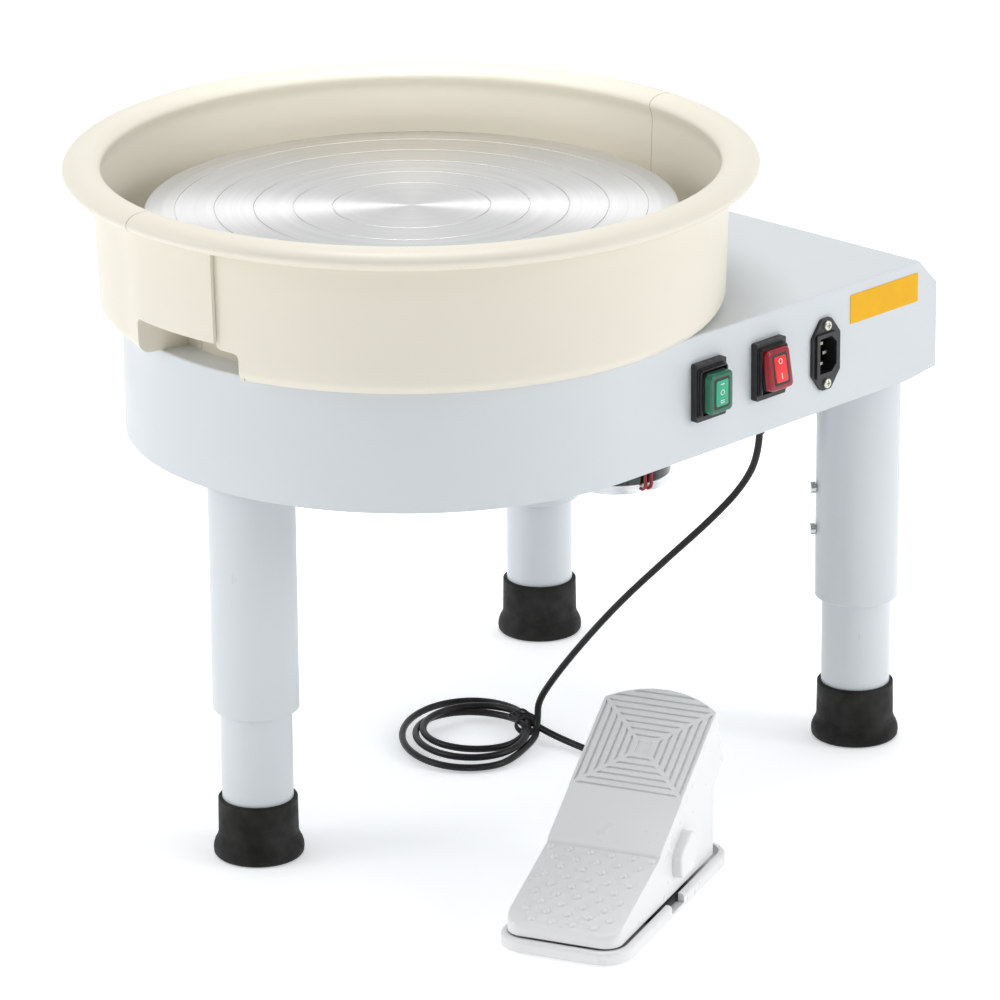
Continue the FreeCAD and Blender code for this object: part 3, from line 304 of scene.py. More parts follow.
white_coat = Finish("white_powder_coat", (0.63, 0.66, 0.685), 0.34, Specular_IOR_Level=0.5)
white_coat.tint(white_coat.noise(5, 2), 0.985, 1.015)
white_coat.gloss(white_coat.noise(26, 4), 0.32, 0.42)
white_coat.bump(white_coat.noise(1300, 2), 0.00005, 0.22)
white_coat.bump(white_coat.noise(180, 2), 0.00004, 0.12)
coat(["housing_shell", "motor_bracket", "wiring_box", "controller_case"], white_coat)

# Bearing housing: a painted iron casting with two ball bearings, bolted up under the
# top plate with zinc-plated hexagon bolts. The splash collar round it is spun aluminium.
cast_paint = Finish("casting_paint", (0.055, 0.057, 0.060), 0.55, Specular_IOR_Level=0.4)
cast_paint.tint(cast_paint.noise(60, 5), 0.75, 1.35)
cast_paint.bump(cast_paint.noise(420, 4), 0.0002, 0.45)
coat(["bearing_housing"], cast_paint)
ground_steel = Finish("ground_steel", (0.56, 0.57, 0.58), 0.24, 1.0)
ground_steel.gloss(ground_steel.noise(90, 4, (1, 1, 9)), 0.16, 0.34)
ground_steel.bump(ground_steel.noise(700, 3, (1, 1, 8)), 0.00003, 0.3)
coat(["upper_bearing", "lower_bearing", "spindle", "pedal_pin", "motor_shaft"], ground_steel)
zinc_plate = Finish("zinc_plate", (0.62, 0.62, 0.59), 0.33, 1.0)
zinc_plate.tint(zinc_plate.noise(120, 4), 0.85, 1.08, (0.66, 0.64, 0.56))
zinc_plate.gloss(zinc_plate.noise(260), 0.26, 0.46)
coat(["bearing_bolts", "motor_bolts", "leg_bolts", "spindle_nut", "inlet_screws"], zinc_plate)
spun_aluminium = Finish("machined_aluminium", (0.70, 0.71, 0.72), 0.30, 1.0, Anisotropic=0.4)
spun_aluminium.gloss(spun_aluminium.noise(60, 4, (1, 1, 14)), 0.22, 0.40)
spun_aluminium.bump(spun_aluminium.noise(500, 3, (1, 1, 20)), 0.00003, 0.3)
coat(["splash_collar", "driven_pulley", "motor_pulley", "motor_end_bell"], spun_aluminium)
black_oxide = Finish("black_oxide", (0.20, 0.20, 0.20), 0.36, 1.0)
black_oxide.gloss(black_oxide.noise(300), 0.28, 0.5)
coat(["head_grub_screws"], black_oxide)
coat(["leg_clamp_screws"], ground_steel)

# Belt and motor: a ribbed rubber belt, and a black enamelled motor can with a bright
# machined end bell and red leads. Its bracket is coated like the housing.
belt_rubber = Finish("belt_rubber", (0.016, 0.016, 0.017), 0.62)
belt_ribs = belt_rubber.node("TexWave", Scale=260.0, Distortion=0.0)
belt_ribs.bands_direction = "Z"
belt_rubber.links.new(belt_rubber.place(), belt_ribs.inputs["Vector"])
belt_rubber.bump(belt_ribs.outputs["Fac"], 0.0004, 0.7)
belt_rubber.tint(belt_rubber.noise(90), 0.7, 1.6)
coat(["drive_belt"], belt_rubber)
motor_enamel = Finish("motor_enamel", (0.012, 0.012, 0.013), 0.22, Coat_Weight=0.4, Coat_Roughness=0.1)
motor_enamel.tint(motor_enamel.noise(40), 0.8, 1.4)
motor_enamel.gloss(motor_enamel.noise(70), 0.18, 0.32)
motor_enamel.bump(motor_enamel.noise(350), 0.00005, 0.3)
coat(["motor_can"], motor_enamel)
lead_red = Finish("lead_red", (0.36, 0.012, 0.016), 0.42)
lead_red.tint(lead_red.noise(200), 0.8, 1.15)
coat(["motor_leads"], lead_red)

# Legs: powder-coated steel tubes. The inner tubes stand in black rubber feet with a
# flared lip, and two screws clamp each one in its outer tube.
leg_coat = Finish("leg_powder_coat", (0.635, 0.67, 0.695), 0.28, Specular_IOR_Level=0.55)
leg_coat.tint(leg_coat.noise(9, 2, (1, 1, 0.4)), 0.98, 1.015)
leg_coat.gloss(leg_coat.noise(40, 4, (1, 1, 0.3)), 0.26, 0.38)
leg_coat.bump(leg_coat.noise(1300, 2), 0.00004, 0.2)
coat([side + "_leg_tube" for side in ("front", "left", "right")], leg_coat)
coat([side + "_inner_tube" for side in ("front", "left", "right")], leg_coat)
foot_rubber = Finish("foot_rubber", (0.0065, 0.007, 0.0045), 0.60, Specular_IOR_Level=0.2)
foot_rubber.tint(foot_rubber.noise(55, 5), 0.7, 1.9, (0.012, 0.0125, 0.011))
foot_rubber.gloss(foot_rubber.noise(120), 0.48, 0.68)
foot_rubber.bump(foot_rubber.noise(900, 4), 0.00012, 0.5)
coat([side + "_foot" for side in ("front", "left", "right")] + ["pedal_pads"], foot_rubber)

# Wheel head: a 350 mm cast aluminium disc, turned on its face and edge, with five fine
# centring grooves and a hub that two grub screws lock to the spindle.


def turned_mesh(name, outline, steps, swell=None):
    """Turn a closed outline of (radius, height) points about the spindle, in millimetres."""
    mesh = bpy.data.meshes.new(name)
    verts, faces = [], []
    for step in range(steps):
        turn = 360 * step / steps
        angle = math.radians(turn)
        for index, (r, z) in enumerate(outline):
            reach = r + (swell(turn, index) if swell else 0)
            verts.append((reach * math.cos(angle) * MM, reach * math.sin(angle) * MM, z * MM))
    count = len(outline)
    for step in range(steps):
        here, there = step * count, ((step + 1) % steps) * count
        for index in range(count):
            after = (index + 1) % count
            faces.append((here + index, there + index, there + after, here + after))
    mesh.from_pydata(verts, [], faces)
    work = bmesh.new()
    work.from_mesh(mesh)
    bmesh.ops.remove_doubles(work, verts=work.verts, dist=1e-7)
    work.to_mesh(mesh)
    work.free()
    tidy_normals(mesh)
    return mesh


def tidy_normals(mesh):
    """Turn every face of a closed mesh outwards."""
    work = bmesh.new()
    work.from_mesh(mesh)
    bmesh.ops.recalc_face_normals(work, faces=work.faces)
    work.to_mesh(mesh)
    work.free()


def smooth(thing, degrees=35):
    """Shade smoothly, and keep edges sharper than this angle crisp."""
    thing.data.polygons.foreach_set("use_smooth", [True] * len(thing.data.polygons))
    thing.data.set_sharp_from_angle(angle=math.radians(degrees))


head_radius, head_top, head_thick, hub_radius, bore_radius = 175, 411, 14, 32, 10
head_low = head_top - head_thick
groove_pitch, groove_count, groove_deep = head_radius * 0.1475, 5, 0.5
head_outline = [(0.01, head_top)]
for ring in range(1, groove_count + 1):
    middle = groove_pitch * (ring + 1)
    head_outline += [(middle + aside, head_top - drop) for aside, drop in (
        (-0.4, 0), (-0.28, 0.06), (-0.2, groove_deep), (0.2, groove_deep), (0.28, 0.06), (0.4, 0))]
head_outline += [
    (head_radius - 1.4, head_top), (head_radius - 0.5, head_top - 0.25), (head_radius - 0.1, head_top - 0.9),
    (head_radius, head_top - 1.8), (head_radius, head_low + 3), (head_radius - 0.8, head_low + 1),
    (head_radius - 3, head_low), (hub_radius + 12, head_low), (hub_radius + 4, head_low - 3),
    (hub_radius, head_low - 8), (hub_radius, 369), (hub_radius - 1, 368), (bore_radius, 368),
    (bore_radius, 401), (0.01, 401)]
head_mesh = turned_mesh("turned_wheel_head", head_outline, 256)
wheel_head = new_object("turned_wheel_head", head_mesh, spot(0, 0, 0))
smooth(wheel_head, 20)
turned_face = Finish("turned_aluminium", (0.75, 0.75, 0.745), 0.34, 1.0, Anisotropic=0.82)
ring_tangent = turned_face.node("Tangent")
ring_tangent.direction_type = "RADIAL"
ring_tangent.axis = "Z"
turned_face.links.new(ring_tangent.outputs["Tangent"], turned_face.shader.inputs["Tangent"])
flat_place = turned_face.node("VectorMath")
flat_place.operation = "LENGTH"
turned_face.links.new(turned_face.place((1, 1, 0)), flat_place.inputs[0])
tool_marks = turned_face.node("TexNoise", Scale=900.0, Detail=4.0, Roughness=0.7)
tool_marks.noise_dimensions = "1D"
turned_face.links.new(flat_place.outputs["Value"], tool_marks.inputs["W"])
turned_face.bump(tool_marks.outputs["Fac"], 0.000006, 0.3)
broad_marks = turned_face.node("TexNoise", Scale=160.0, Detail=5.0, Roughness=0.75)
broad_marks.noise_dimensions = "1D"
turned_face.links.new(flat_place.outputs["Value"], broad_marks.inputs["W"])
turned_face.tint(broad_marks.outputs["Fac"], 0.94, 1.04)
turned_face.gloss(tool_marks.outputs["Fac"], 0.31, 0.38)
wheel_head.data.materials.append(turned_face.material)
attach(wheel_head, "wheel")
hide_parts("wheel_head")

# Splash basin: two equal halves moulded in cream plastic. Each has a rolled rim, half of
# the collar round the hub, part of both drain notches, and a tongue that laps outside
# the other half's wall.
seam_turn, notch_from, notch_to, notch_top = -7.5, 174.9, 200.0, 372.0


def arc(center, radii, first, last, count):
    """Points on an arc, its angles in degrees."""
    return [(center[0] + radii[0] * math.cos(math.radians(first + (last - first) * step / count)),
             center[1] + radii[1] * math.sin(math.radians(first + (last - first) * step / count)))
            for step in range(count + 1)]


rim_center, rim_reach = (215, 441), (12.5, 7)
outer_wall = arc((196.5, 356), (9, 9), -90, 0, 8) + [
    (205.9, 368), (206.4, 384), (206.9, 400), (207.4, 416), (207.7, 428), (207.9, 431.5), (208.3, 433.3)]
rolled_rim = arc(rim_center, rim_reach, 246, 548, 36)
inner_wall = [(203.9, 436.5), (204.7, 434), (205, 430), (204.4, 416), (203.9, 400), (203.4, 384),
              (202.9, 368)]
basin_floor = arc((196.5, 356), (6, 6), 0, -90, 6) + [(150, 350), (100, 350), (58, 350)]
hub_collar = arc((58, 356), (6, 6), -90, -180, 5) + [
    (52, 370), (52, 384.5), (51.4, 385.6), (50.5, 386), (49.6, 385.6), (49, 384.5), (49, 347.6), (49.6, 347)]
underside = [(100, 347), (150, 347)]
basin_outline = outer_wall + rolled_rim + inner_wall + basin_floor + hub_collar + underside


def sector_block(name, radii, outline):
    """A solid whose (angle, height) outline is drawn between two radii."""
    mesh = bpy.data.meshes.new(name)
    verts, faces, count = [], [], len(outline)
    for radius in radii:
        for turn, z in outline:
            angle = math.radians(turn)
            verts.append((radius * math.cos(angle) * MM, radius * math.sin(angle) * MM, z * MM))
    for index in range(count):
        after = (index + 1) % count
        faces.append((index, after, count + after, count + index))
    faces.append(tuple(reversed(range(count))))
    faces.append(tuple(range(count, 2 * count)))
    mesh.from_pydata(verts, [], faces)
    work = bmesh.new()
    work.from_mesh(mesh)
    bmesh.ops.recalc_face_normals(work, faces=work.faces)
    bmesh.ops.triangulate(work, faces=[face for face in work.faces if len(face.verts) > 4])
    work.to_mesh(mesh)
    work.free()
    return mesh


def opening_outline(start):
    """The notch's edge: a round top corner, a small tab at its far end, and a low open side."""
    low, high, bottom = start + notch_from - 180, start + notch_to - 180, 340
    corner_turn, corner = 1.2, 4.3
    left = []
    for degrees in range(0, 91, 15):
        angle = math.radians(degrees)
        left.append((low + corner_turn * (1 - math.cos(angle)), notch_top - corner * (1 - math.sin(angle))))
    along = [(low + 2 + (high - 6.5 - low) * step / 12, notch_top) for step in range(1, 12)]
    tab = [(high - back, notch_top - drop) for back, drop in (
        (5.1, 0), (4.8, 1.2), (4.5, 3.6), (3.9, 4.8), (2.4, 5.1), (1.2, 5.3), (0.4, 6.2), (0, 8.5))]
    sill = [(high + (low - high) * step / 14, bottom) for step in range(1, 14)]
    return [(low, bottom)] + left + along + tab + [(high, bottom)] + sill


def liner_outline(start):
    """The thicker wall round a notch, a little wider and taller than the opening."""
    low, high = start + notch_from - 180 - 0.8, start + notch_to - 180 + 0.8
    wide, top, bottom = notch_to - notch_from + 1.6, notch_top + 3.4, 348.5
    over = [(low + wide * step / 12, top) for step in range(1, 12)]
    under = [(high - wide * step / 12, bottom) for step in range(1, 12)]
    return [(low, bottom), (low, top)] + over + [(high, top), (high, bottom)] + under


def combine(base, tools, how):
    """Cut tools from a mesh, or add them to it, and keep the result."""
    thing = new_object("work_piece", base)
    for tool in tools:
        helper = new_object("work_tool", tool)
        change = thing.modifiers.new("change", "BOOLEAN")
        change.operation = how
        change.solver = "EXACT"
        change.object = helper
    done = bpy.data.meshes.new_from_object(thing.evaluated_get(bpy.context.evaluated_depsgraph_get()))
    for extra in [thing] + [change.object for change in thing.modifiers]:
        bpy.data.objects.remove(extra)
    return done


seam_turns = (seam_turn, seam_turn + 180)
liner_blocks = [sector_block("liner", (168, 204), liner_outline(start)) for start in seam_turns]
notch_cutters = [sector_block("notch", (171, 240), opening_outline(start)) for start in seam_turns]
tongue_proud, tongue_gap, tongue_turn, tongue_root = 3.35, 0.35, 15.5, 2.2
seam_gap = 0.3


def lap_tongue(name, end):
    """The tongue: it is rooted in the swollen end of its wall and laps the other half's wall."""
    lap_wall = [(r, z) for r, z in outer_wall if z > 347.3]
    verts, faces = [], []
    stations, count = 26, 2 * len(lap_wall)
    for step in range(stations + 1):
        swing = -tongue_root + (tongue_root + tongue_turn) * step / stations
        angle = math.radians(end + swing)
        for proud, wall in ((tongue_proud + 0.03, lap_wall), (tongue_gap, lap_wall[::-1])):
            verts += [((r + proud) * math.cos(angle) * MM, (r + proud) * math.sin(angle) * MM, z * MM)
                      for r, z in wall]
    for step in range(stations):
        here, there = step * count, (step + 1) * count
        for index in range(count):
            after = (index + 1) % count
            faces.append((here + index, there + index, there + after, here + after))
    faces.append(tuple(range(count)))
    faces.append(tuple(reversed(range(stations * count, (stations + 1) * count))))
    tongue = bpy.data.meshes.new(name + "_tongue")
    tongue.from_pydata(verts, [], faces)
    tidy_normals(tongue)
    past_notch = end + 24
    cut_line = opening_outline(end)[:20] + [(past_notch, notch_top), (past_notch, 340)]
    return combine(tongue, [sector_block("notch", (171, 240), cut_line)], "DIFFERENCE")


def basin_half(name, start):
    """One half: a ring cut at both seams, its wall swollen at one end into the tongue."""
    end = start + 180

    def swell(turn, index):
        past = (turn - end + 180) % 360 - 180
        rise = min(1, max(0, (past + 11.5) / 9)) if past < 3 else 0
        return tongue_proud * rise * rise * (3 - 2 * rise) if 0 < index < len(outer_wall) else 0

    ring = turned_mesh("basin_ring", basin_outline, 288, swell)
    ring = combine(combine(ring, liner_blocks, "UNION"), notch_cutters, "DIFFERENCE")
    work = bmesh.new()
    work.from_mesh(ring)
    turn = math.radians(start)
    side = Vector((-math.sin(turn), math.cos(turn), 0))
    bmesh.ops.bisect_plane(work, geom=work.verts[:] + work.edges[:] + work.faces[:], dist=1e-7,
                           plane_co=side * seam_gap * MM, plane_no=-side, clear_outer=True)
    bmesh.ops.holes_fill(work, edges=[edge for edge in work.edges if edge.is_boundary], sides=0)
    half_mesh = bpy.data.meshes.new(name)
    work.to_mesh(half_mesh)
    work.free()
    work = bmesh.new()
    work.from_mesh(half_mesh)
    work.from_mesh(lap_tongue(name, end))
    work.to_mesh(half_mesh)
    work.free()
    half = new_object(name, half_mesh, spot(0, 0, 0))
    edges = half.modifiers.new("soft_edges", "BEVEL")
    edges.width = 0.6 * MM
    edges.segments = 2
    edges.limit_method = "ANGLE"
    edges.angle_limit = math.radians(50)
    edges.harden_normals = True
    edges.use_clamp_overlap = True
    smooth(half, 40)
    half.data.materials.append(cream_plastic.material)
    return half


cream_plastic = Finish("cream_plastic", (0.755, 0.712, 0.608), 0.34, Specular_IOR_Level=0.45)
cream_plastic.tint(cream_plastic.noise(4, 2), 0.985, 1.02)
cream_plastic.gloss(cream_plastic.noise(30, 4), 0.34, 0.48)
cream_plastic.bump(cream_plastic.noise(260, 3), 0.00008, 0.2)
far_half = basin_half("far_half_moulding", seam_turn)
near_half = basin_half("near_half_moulding", seam_turn + 180)
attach(far_half, "far_basin")
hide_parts("far_basin_half")
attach(near_half, "near_basin")
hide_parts("near_basin_half")

# Switches and inlet: black moulded frames with a rubber splash boot, and a clear coloured
# rocker cap over a lit window, printed with the usual on, off and level marks. The inlet
# beside them has plated pins, coloured much darker than bright plating as painted shade
# from the inlet's dark inside.
switch_black = Finish("switch_black", (0.014, 0.014, 0.015), 0.38)
switch_black.tint(switch_black.noise(150), 0.8, 1.5)
switch_black.gloss(switch_black.noise(200), 0.32, 0.5)
switch_black.bump(switch_black.noise(1800), 0.00003, 0.5)
coat(["green_switch_frame", "red_switch_frame", "green_switch_boot", "red_switch_boot", "power_inlet",
      "cord_gland", "pedal_relief", "pedal_sensor"], switch_black)
# painted shade: the pins' plating colour is darkened to stand for the shade inside the inlet
pins_with_painted_shade = Finish("pins_with_painted_shade", (0.36, 0.34, 0.29), 0.3, 1.0)
pins_with_painted_shade.gloss(pins_with_painted_shade.noise(300), 0.16, 0.32)
coat(["inlet_pins"], pins_with_painted_shade)


def rounded_slab(work, center, size, corner, depth, soft=0.0, steps=6):
    """Add a slab with rounded corners that stands out towards -Y; its front edge is softened."""
    wide, high = size[0] / 2, size[1] / 2
    rings = [(0.0, 0.0), (depth - soft, 0.0)]
    if soft:
        rings += [(depth - soft + soft * math.sin(math.radians(a)), soft * (1 - math.cos(math.radians(a))))
                  for a in (22, 45, 67, 90)]
    loops = []
    for out, pinch in rings:
        loop = []
        for sx, sz, first in ((1, 1, 0), (-1, 1, 90), (-1, -1, 180), (1, -1, 270)):
            for step in range(steps + 1):
                angle = math.radians(first + 90 * step / steps)
                reach = max(corner - pinch, 0.05)
                x = center[0] + sx * (wide - corner) + reach * math.cos(angle)
                z = center[2] + sz * (high - corner) + reach * math.sin(angle)
                loop.append(work.verts.new((x * MM, (center[1] - out) * MM, z * MM)))
        loops.append(loop)
    made = []
    for one, two in zip(loops, loops[1:]):
        for index in range(len(one)):
            after = (index + 1) % len(one)
            made.append(work.faces.new((one[index], one[after], two[after], two[index])))
    made.append(work.faces.new(loops[-1]))
    made.append(work.faces.new(list(reversed(loops[0]))))
    return made


switch_face, switch_middle = -194, 309.5
cap_size, cap_corner, cap_thick = (22, 27.2), 3.4, 4.8
inset_size, frame_size, window_size = (21, 26.2), (15.2, 21.2), (11.4, 17.4)
pin_radius, pin_long = 2, 25.4
ring_steps, ring_radii = 28, (1.35, 1.9)


def rocker(colour, x, out, body, cap_lens, window_lens, tilt, marks):
    """A rocker cap on its dark sleeve, built level and then tipped about its pin."""
    work = bmesh.new()
    sleeve = rounded_slab(work, (0, 0, 0), cap_size, cap_corner, out - 6.0, 0.3)
    sleeve += rounded_slab(work, (0, -(out - 6.4), 0), inset_size, 3.0, 2.0, 0.3)
    rounded_slab(work, (0, -(out - cap_thick), 0), cap_size, cap_corner, cap_thick, 1.5)
    bmesh.ops.create_cone(work, cap_ends=True, segments=20, radius1=pin_radius * MM, radius2=pin_radius * MM,
                          depth=pin_long * MM, matrix=Matrix.Rotation(math.pi / 2, 4, "Y"))
    face_at = -out
    frame_line = rounded_slab(work, (0, face_at + 0.3, 0), frame_size, 2.0, 0.35, 0.1)
    window = rounded_slab(work, (0, face_at + 0.1, 0), window_size, 1.2, 0.55, 0.12)
    printed = []
    for kind, (mark_x, mark_z) in marks:
        if kind == "O":
            for step in range(ring_steps):
                one, two = (2 * math.pi * (step + more) / ring_steps for more in (0, 1))
                inner, outer = ring_radii
                corners = [
                    ((mark_x + r * math.cos(a)) * MM, (face_at - 0.6) * MM, (mark_z + r * math.sin(a)) * MM)
                    for a, r in ((one, inner), (two, inner), (two, outer), (one, outer))]
                printed.append(work.faces.new([work.verts.new(corner) for corner in corners]))
        else:
            printed += rounded_slab(work, (mark_x, face_at - 0.3, mark_z), kind, 0.2, 0.3, 0)
    for faces, index in ((sleeve, 1), (frame_line, 1), (window, 2), (printed, 3)):
        for face in faces:
            face.material_index = index
    bmesh.ops.recalc_face_normals(work, faces=work.faces)
    mesh = bpy.data.meshes.new(colour + "_rocker_cap")
    work.to_mesh(mesh)
    work.free()
    cap = new_object(colour + "_rocker_cap", mesh, spot(x, switch_face, switch_middle))
    cap.rotation_euler = (math.radians(tilt), 0, 0)
    for material in (cap_lens, switch_black.material, window_lens, mark_paint.material):
        cap.data.materials.append(material)
    smooth(cap, 50)
    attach(cap, body)
    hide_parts(colour + "_rocker")


mark_paint = Finish("mark_paint", (0.80, 0.84, 0.82), 0.5)
mark_paint.tint(mark_paint.noise(500), 0.95, 1.0)


def lens(name, color, glow, strength):
    """Clear coloured plastic that its lamp lights from behind."""
    made = Finish(name, color, 0.16, Transmission_Weight=0.2, IOR=1.49, Coat_Weight=0.15, Coat_Roughness=0.06)
    made.set(Emission_Color=(*glow, 1), Emission_Strength=strength)
    made.tint(made.noise(90), 0.85, 1.15)
    made.gloss(made.noise(160), 0.10, 0.2)
    return made.material


level_bar, off_ring, on_bar = (3.6, 0.55), "O", (0.6, 4.2)
rocker("green", 75.7, 11.2, "green_switch", lens("green_lens", (0.0, 0.13, 0.065), (0.0, 0.34, 0.17), 0.06),
       lens("green_window", (0.0, 0.30, 0.15), (0.0, 0.60, 0.32), 0.24), 0,
       [(level_bar, (0, 6.0)), (off_ring, (0, 0.4)), (level_bar, (0, -5.0)), (level_bar, (0, -6.4))])
rocker("red", 134, 10.5, "red_switch", lens("red_lens", (0.34, 0.006, 0.018), (0.5, 0.01, 0.02), 0.08),
       lens("red_window", (0.70, 0.015, 0.02), (0.9, 0.03, 0.03), 0.35), -10,
       [(off_ring, (0, 5.2)), (on_bar, (0, -4.6))])

# Label: a plain yellow printed film with a thin matt skin, cut to a rectangle and stuck
# to the rear of the side panel.
label_film = Finish("label_film", (0.82, 0.43, 0.003), 0.42, Specular_IOR_Level=0.2)
label_film.tint(label_film.noise(60), 0.96, 1.04)
label_film.gloss(label_film.noise(90), 0.32, 0.44)
label_film.bump(label_film.noise(700), 0.00003, 0.3)
coat(["label_plate"], label_film)

# Speed controller: a green circuit board on short posts, with a finned heat sink and two
# capacitors. It is screwed into its case under the top plate.
board_resist = Finish("board_resist", (0.012, 0.10, 0.035), 0.35)
board_resist.tint(board_resist.noise(160, 4), 0.6, 1.5)
coat(["controller_board"], board_resist)

# Foot pedal: glossy white mouldings, with lugs inside the tray that carry the treadle's
# pin. The treadle is one shell: a heel plate with small domes, a plain band, and a toe
# plate with square ribs inside each other. A wound spring lifts it.
spring_wire = Finish("spring_wire", (0.46, 0.46, 0.46), 0.28, 1.0)
wire_turns = spring_wire.node("TexWave", Scale=110.0)
wire_turns.bands_direction = "Z"
spring_wire.links.new(spring_wire.place(), wire_turns.inputs["Vector"])
spring_wire.bump(wire_turns.outputs["Fac"], 0.0012, 1.0)
coat(["pedal_spring"], spring_wire)
coat(["pedal_lead"], cord_pvc)
pedal_white = Finish("pedal_white", (0.80, 0.802, 0.802), 0.30, Specular_IOR_Level=0.5, Coat_Weight=0.12)
pedal_white.tint(pedal_white.noise(8, 2), 0.985, 1.01)
pedal_white.gloss(pedal_white.noise(50, 3), 0.25, 0.38)
pedal_white.bump(pedal_white.noise(500, 2), 0.00004, 0.2)
coat(["pedal_base"], pedal_white)

tread_half, tread_low, plate_slope, plate_proud = 39, 11.2, 0.61, 1.0
toe_lean = math.tan(math.radians(21))
heel_corner, heel_end = 12, -100
heel_front, heel_high, heel_low = -24.2, 44.4, 20.3
heel_rise = (heel_high - heel_low) / (heel_front - (heel_end + 4.5))


def band_height(x):
    """The height of the plain band's slope, and of its line carried on, along the pedal."""
    return 47 + (x + 24) * plate_slope


def toe_reach(y):
    """How far forward the toe's edge bulges, at the height of its top corners."""
    return 13.6 + 73.9 * math.sqrt(1 - (y / 69) ** 2)


def heel_reach(y):
    """Where the heel ends: its two corners are round in plan."""
    beyond = max(0, abs(y) - (tread_half - heel_corner))
    return heel_end + heel_corner - math.sqrt(heel_corner ** 2 - beyond ** 2)


def side_outline(y):
    """The treadle's outer shape (x, z) at a place across it, from the heel round to the toe."""
    heel, reach = heel_reach(y), toe_reach(y)
    top_x = (reach + (109 - band_height(0)) * toe_lean) / (1 + plate_slope * toe_lean)
    lift = (heel - heel_end) * heel_rise
    return [(heel, tread_low), (heel, 16.2), (heel + 0.7, 17.8 + lift), (heel + 2.2, 19.3 + lift),
            (heel + 4.5, heel_low + lift), (heel_front, heel_high), (-23.9, 46.0), (-22.6, 47.6),
            (-20.5, 48.9), (12.6, band_height(12.6)), (13.4, band_height(13.4) + plate_proud),
            (top_x, band_height(top_x) + plate_proud),
            (reach + 38.5 * toe_lean, 70.5), (reach + 38.5 * toe_lean - 3, 69.2), (71, 57), (69.5, tread_low)]


def prism(name, outline, low, high):
    """A solid of a side outline (x, z) between two places across the pedal."""
    mesh = bpy.data.meshes.new(name)
    verts = [(x * MM, y * MM, z * MM) for y in (low, high) for x, z in outline]
    count = len(outline)
    faces = [(k, (k + 1) % count, count + (k + 1) % count, count + k) for k in range(count)]
    mesh.from_pydata(verts, [], faces + [tuple(reversed(range(count))), tuple(range(count, 2 * count))])
    tidy_normals(mesh)
    return mesh


work = bmesh.new()
straight = tread_half - heel_corner
columns = [side * (straight + heel_corner * math.sin(math.radians(turn)))
           for side, turns in ((-1, range(90, 0, -10)), (1, range(10, 91, 10))) for turn in turns]
columns = columns[:9] + [-straight + 2 * straight * step / 18 for step in range(19)] + columns[9:]
loops = [[work.verts.new((x * MM, y * MM, z * MM)) for x, z in side_outline(y)] for y in columns]
for one, two in zip(loops, loops[1:]):
    for index in range(len(one)):
        after = (index + 1) % len(one)
        work.faces.new((one[index], two[index], two[after], one[after]))
work.faces.new(list(reversed(loops[0])))
work.faces.new(loops[-1])
bmesh.ops.recalc_face_normals(work, faces=work.faces)
shell_mesh = bpy.data.meshes.new("tread_shell")
work.to_mesh(shell_mesh)
work.free()


def softened(mesh, width, degrees, segments=4):
    """Round every edge that turns by more than this angle."""
    thing = new_object("to_soften", mesh)
    soft = thing.modifiers.new("soft_edges", "BEVEL")
    soft.width = width * MM
    soft.segments = segments
    soft.limit_method = "ANGLE"
    soft.angle_limit = math.radians(degrees)
    done = bpy.data.meshes.new_from_object(thing.evaluated_get(bpy.context.evaluated_depsgraph_get()))
    bpy.data.objects.remove(thing)
    return done


shell_mesh = softened(shell_mesh, 1.9, 42)
hollow = [(-92.5, tread_low - 5), (-92.5, 15), (-24, 39.5), (-24, 42.5), (65, 42.5 + 89 * plate_slope),
          (67, 62), (66.5, tread_low - 5)]
lead_arch = [(64, 5), (74, 5), (74, 18.5), (64, 18.5)]
inside = [prism("tread_hollow", hollow, -35.8, 35.8), prism("lead_arch", lead_arch, -22, -2)]
cheek_outline = [(0, 22), (-2.5, 27), (-2.5, 38.5), (1, 41.5), (14, 49), (20, 48), (25, 41), (25, 28),
                 (21, 22)]
cheeks = [softened(prism("cheek", cheek_outline, *ends), 1.6, 30) for ends in ((36.5, 45.5), (-45.5, -36.5))]
shell_mesh = combine(combine(shell_mesh, inside, "DIFFERENCE"), cheeks, "UNION")

plate_up = Vector((1, 0, plate_slope)).normalized()
plate_out = Vector((-plate_slope, 0, 1)).normalized()
plate_foot = Vector((13.5, 0, band_height(13.5) + plate_proud))


def on_plate(u, v, out):
    """A point on the toe plate: u up the slope from the plain band, v across."""
    return (plate_foot + plate_up * u + Vector((0, v, 0)) + plate_out * out) * MM


def groove(corners, deep_down=1.5, pinch=0.75):
    """A cutter with sloping flanks over four corners on the toe plate."""
    middle_u = sum(u for u, v in corners) / 4
    middle_v = sum(v for u, v in corners) / 4
    verts = []
    for out, inward in ((-deep_down, pinch), (0.6, -0.25)):
        for u, v in corners:
            verts.append(on_plate(u - math.copysign(inward, u - middle_u),
                                  v - math.copysign(inward, v - middle_v), out))
    flanks = [(k, (k + 1) % 4, 4 + (k + 1) % 4, 4 + k) for k in range(4)]
    mesh = bpy.data.meshes.new("groove")
    mesh.from_pydata(verts, [], [(3, 2, 1, 0), (4, 5, 6, 7)] + flanks)
    tidy_normals(mesh)
    return mesh


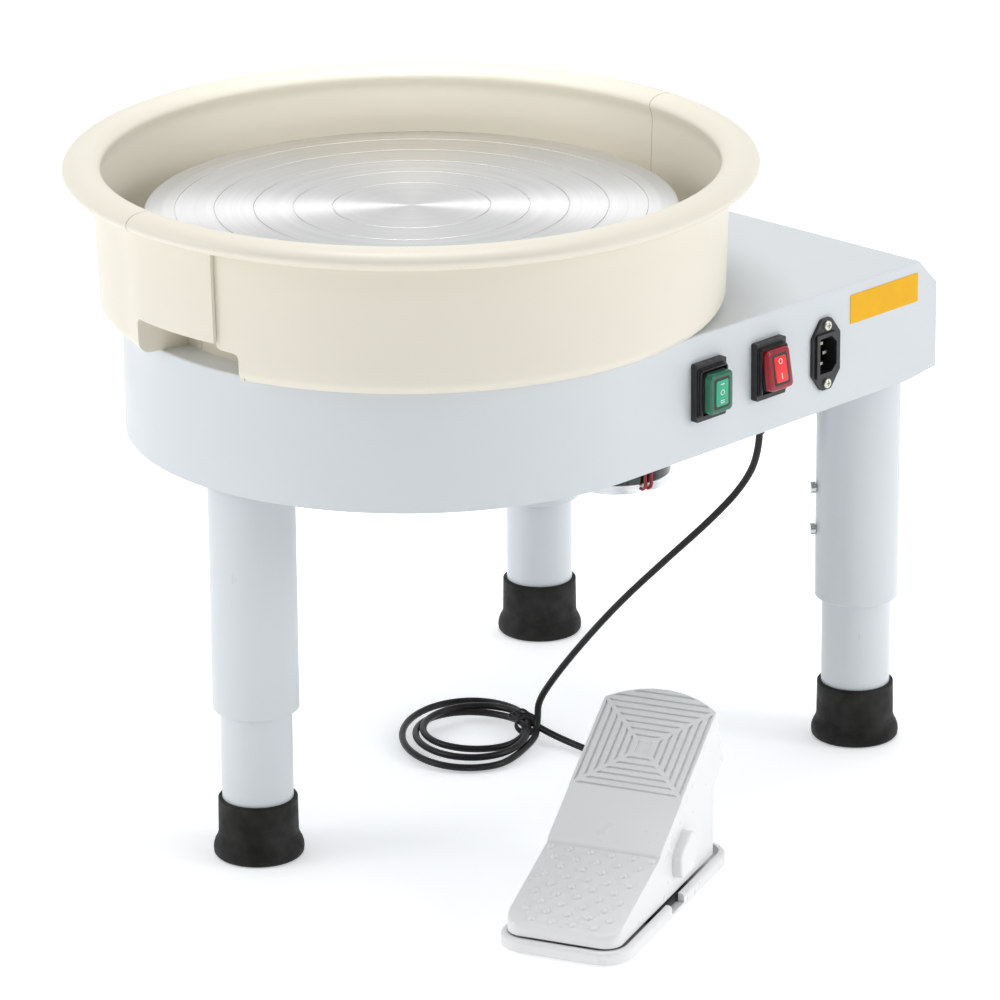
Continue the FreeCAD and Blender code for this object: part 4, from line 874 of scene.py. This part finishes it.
square_u, square_half, widen, groove_half, mitre = 36.4, 5.4, 1.06, 1.35, 1.5
first_away, rib_pitch, square_rings = 9.2, 5.0, 6
low_u, high_u, square_v = square_u - square_half, square_u + square_half, 5.8
cutters = [groove([(low_u, -square_v), (high_u, -square_v), (high_u, square_v), (low_u, square_v)], 1.0)]
for ring in range(square_rings):
    away = first_away + rib_pitch * ring
    near, far = away - groove_half, away + groove_half
    for side in (-1, 1):
        far_v, near_v, far_u, near_u = side * far * widen, side * near * widen, side * far, side * near
        cutters.append(groove([(square_u - far + mitre, far_v), (square_u + far - mitre, far_v),
                               (square_u + near - mitre, near_v), (square_u - near + mitre, near_v)]))
        cutters.append(groove([
            (square_u + far_u, (mitre - far) * widen), (square_u + far_u, (far - mitre) * widen),
            (square_u + near_u, (near - mitre) * widen), (square_u + near_u, (mitre - near) * widen)]))
for away, half_far, half_near in ((39.2, 30.5, 33.5), (44.2, 17, 22.5)):
    far_u, near_u = square_u + away + groove_half, square_u + away - groove_half
    cutters.append(groove([(far_u, -half_far), (far_u, half_far), (near_u, half_near), (near_u, -half_near)]))
shell_mesh = combine(shell_mesh, cutters, "DIFFERENCE")


dome_rings, dome_height, dome_sides = ((2.6, -0.3), (2.45, 0.4), (1.9, 1.15), (1.1, 1.6)), 1.75, 16


def dome(work, x, y):
    """A small raised grip dome on the heel plate."""
    up = Vector((-heel_rise, 0, 1)).normalized()
    along = Vector((1, 0, heel_rise)).normalized()
    base = Vector((x, y, heel_low + (x - heel_end - 4.5) * heel_rise))
    loops = []
    for radius, height in dome_rings:
        ring = []
        for k in range(dome_sides):
            angle = 2 * math.pi * k / dome_sides
            aside = along * math.cos(angle) + Vector((0, 1, 0)) * math.sin(angle)
            ring.append(work.verts.new((base + aside * radius + up * height) * MM))
        loops.append(ring)
    tip = work.verts.new((base + up * dome_height) * MM)
    for one, two in zip(loops, loops[1:]):
        for k in range(dome_sides):
            after = (k + 1) % dome_sides
            work.faces.new((one[k], one[after], two[after], two[k]))
    for k in range(dome_sides):
        work.faces.new((loops[-1][k], loops[-1][(k + 1) % dome_sides], tip))


dome_pitch, row_pitch, dome_rows = 14.4, 8.1, 9
work = bmesh.new()
work.from_mesh(shell_mesh)
for row in range(dome_rows):
    places = (-1.5, -0.5, 0.5, 1.5) if row % 2 == 0 else (-2, -1, 0, 1, 2)
    across_places = [place * dome_pitch for place in places]
    if row == 0:
        across_places = [-34.8, *across_places, 34.8]
    for y in across_places:
        dome(work, -28 - row_pitch * row, y)
tread_mesh = bpy.data.meshes.new("treadle_moulding")
work.to_mesh(tread_mesh)
work.free()
pedal_place, pedal_turn = (-49.3, -228.9, 0), 21
treadle = new_object("treadle_moulding", tread_mesh, spot(*pedal_place))
treadle.rotation_euler = (0, 0, math.radians(pedal_turn))
smooth(treadle, 42)
treadle.data.materials.append(pedal_white.material)
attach(treadle, "treadle")
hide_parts("pedal_treadle")
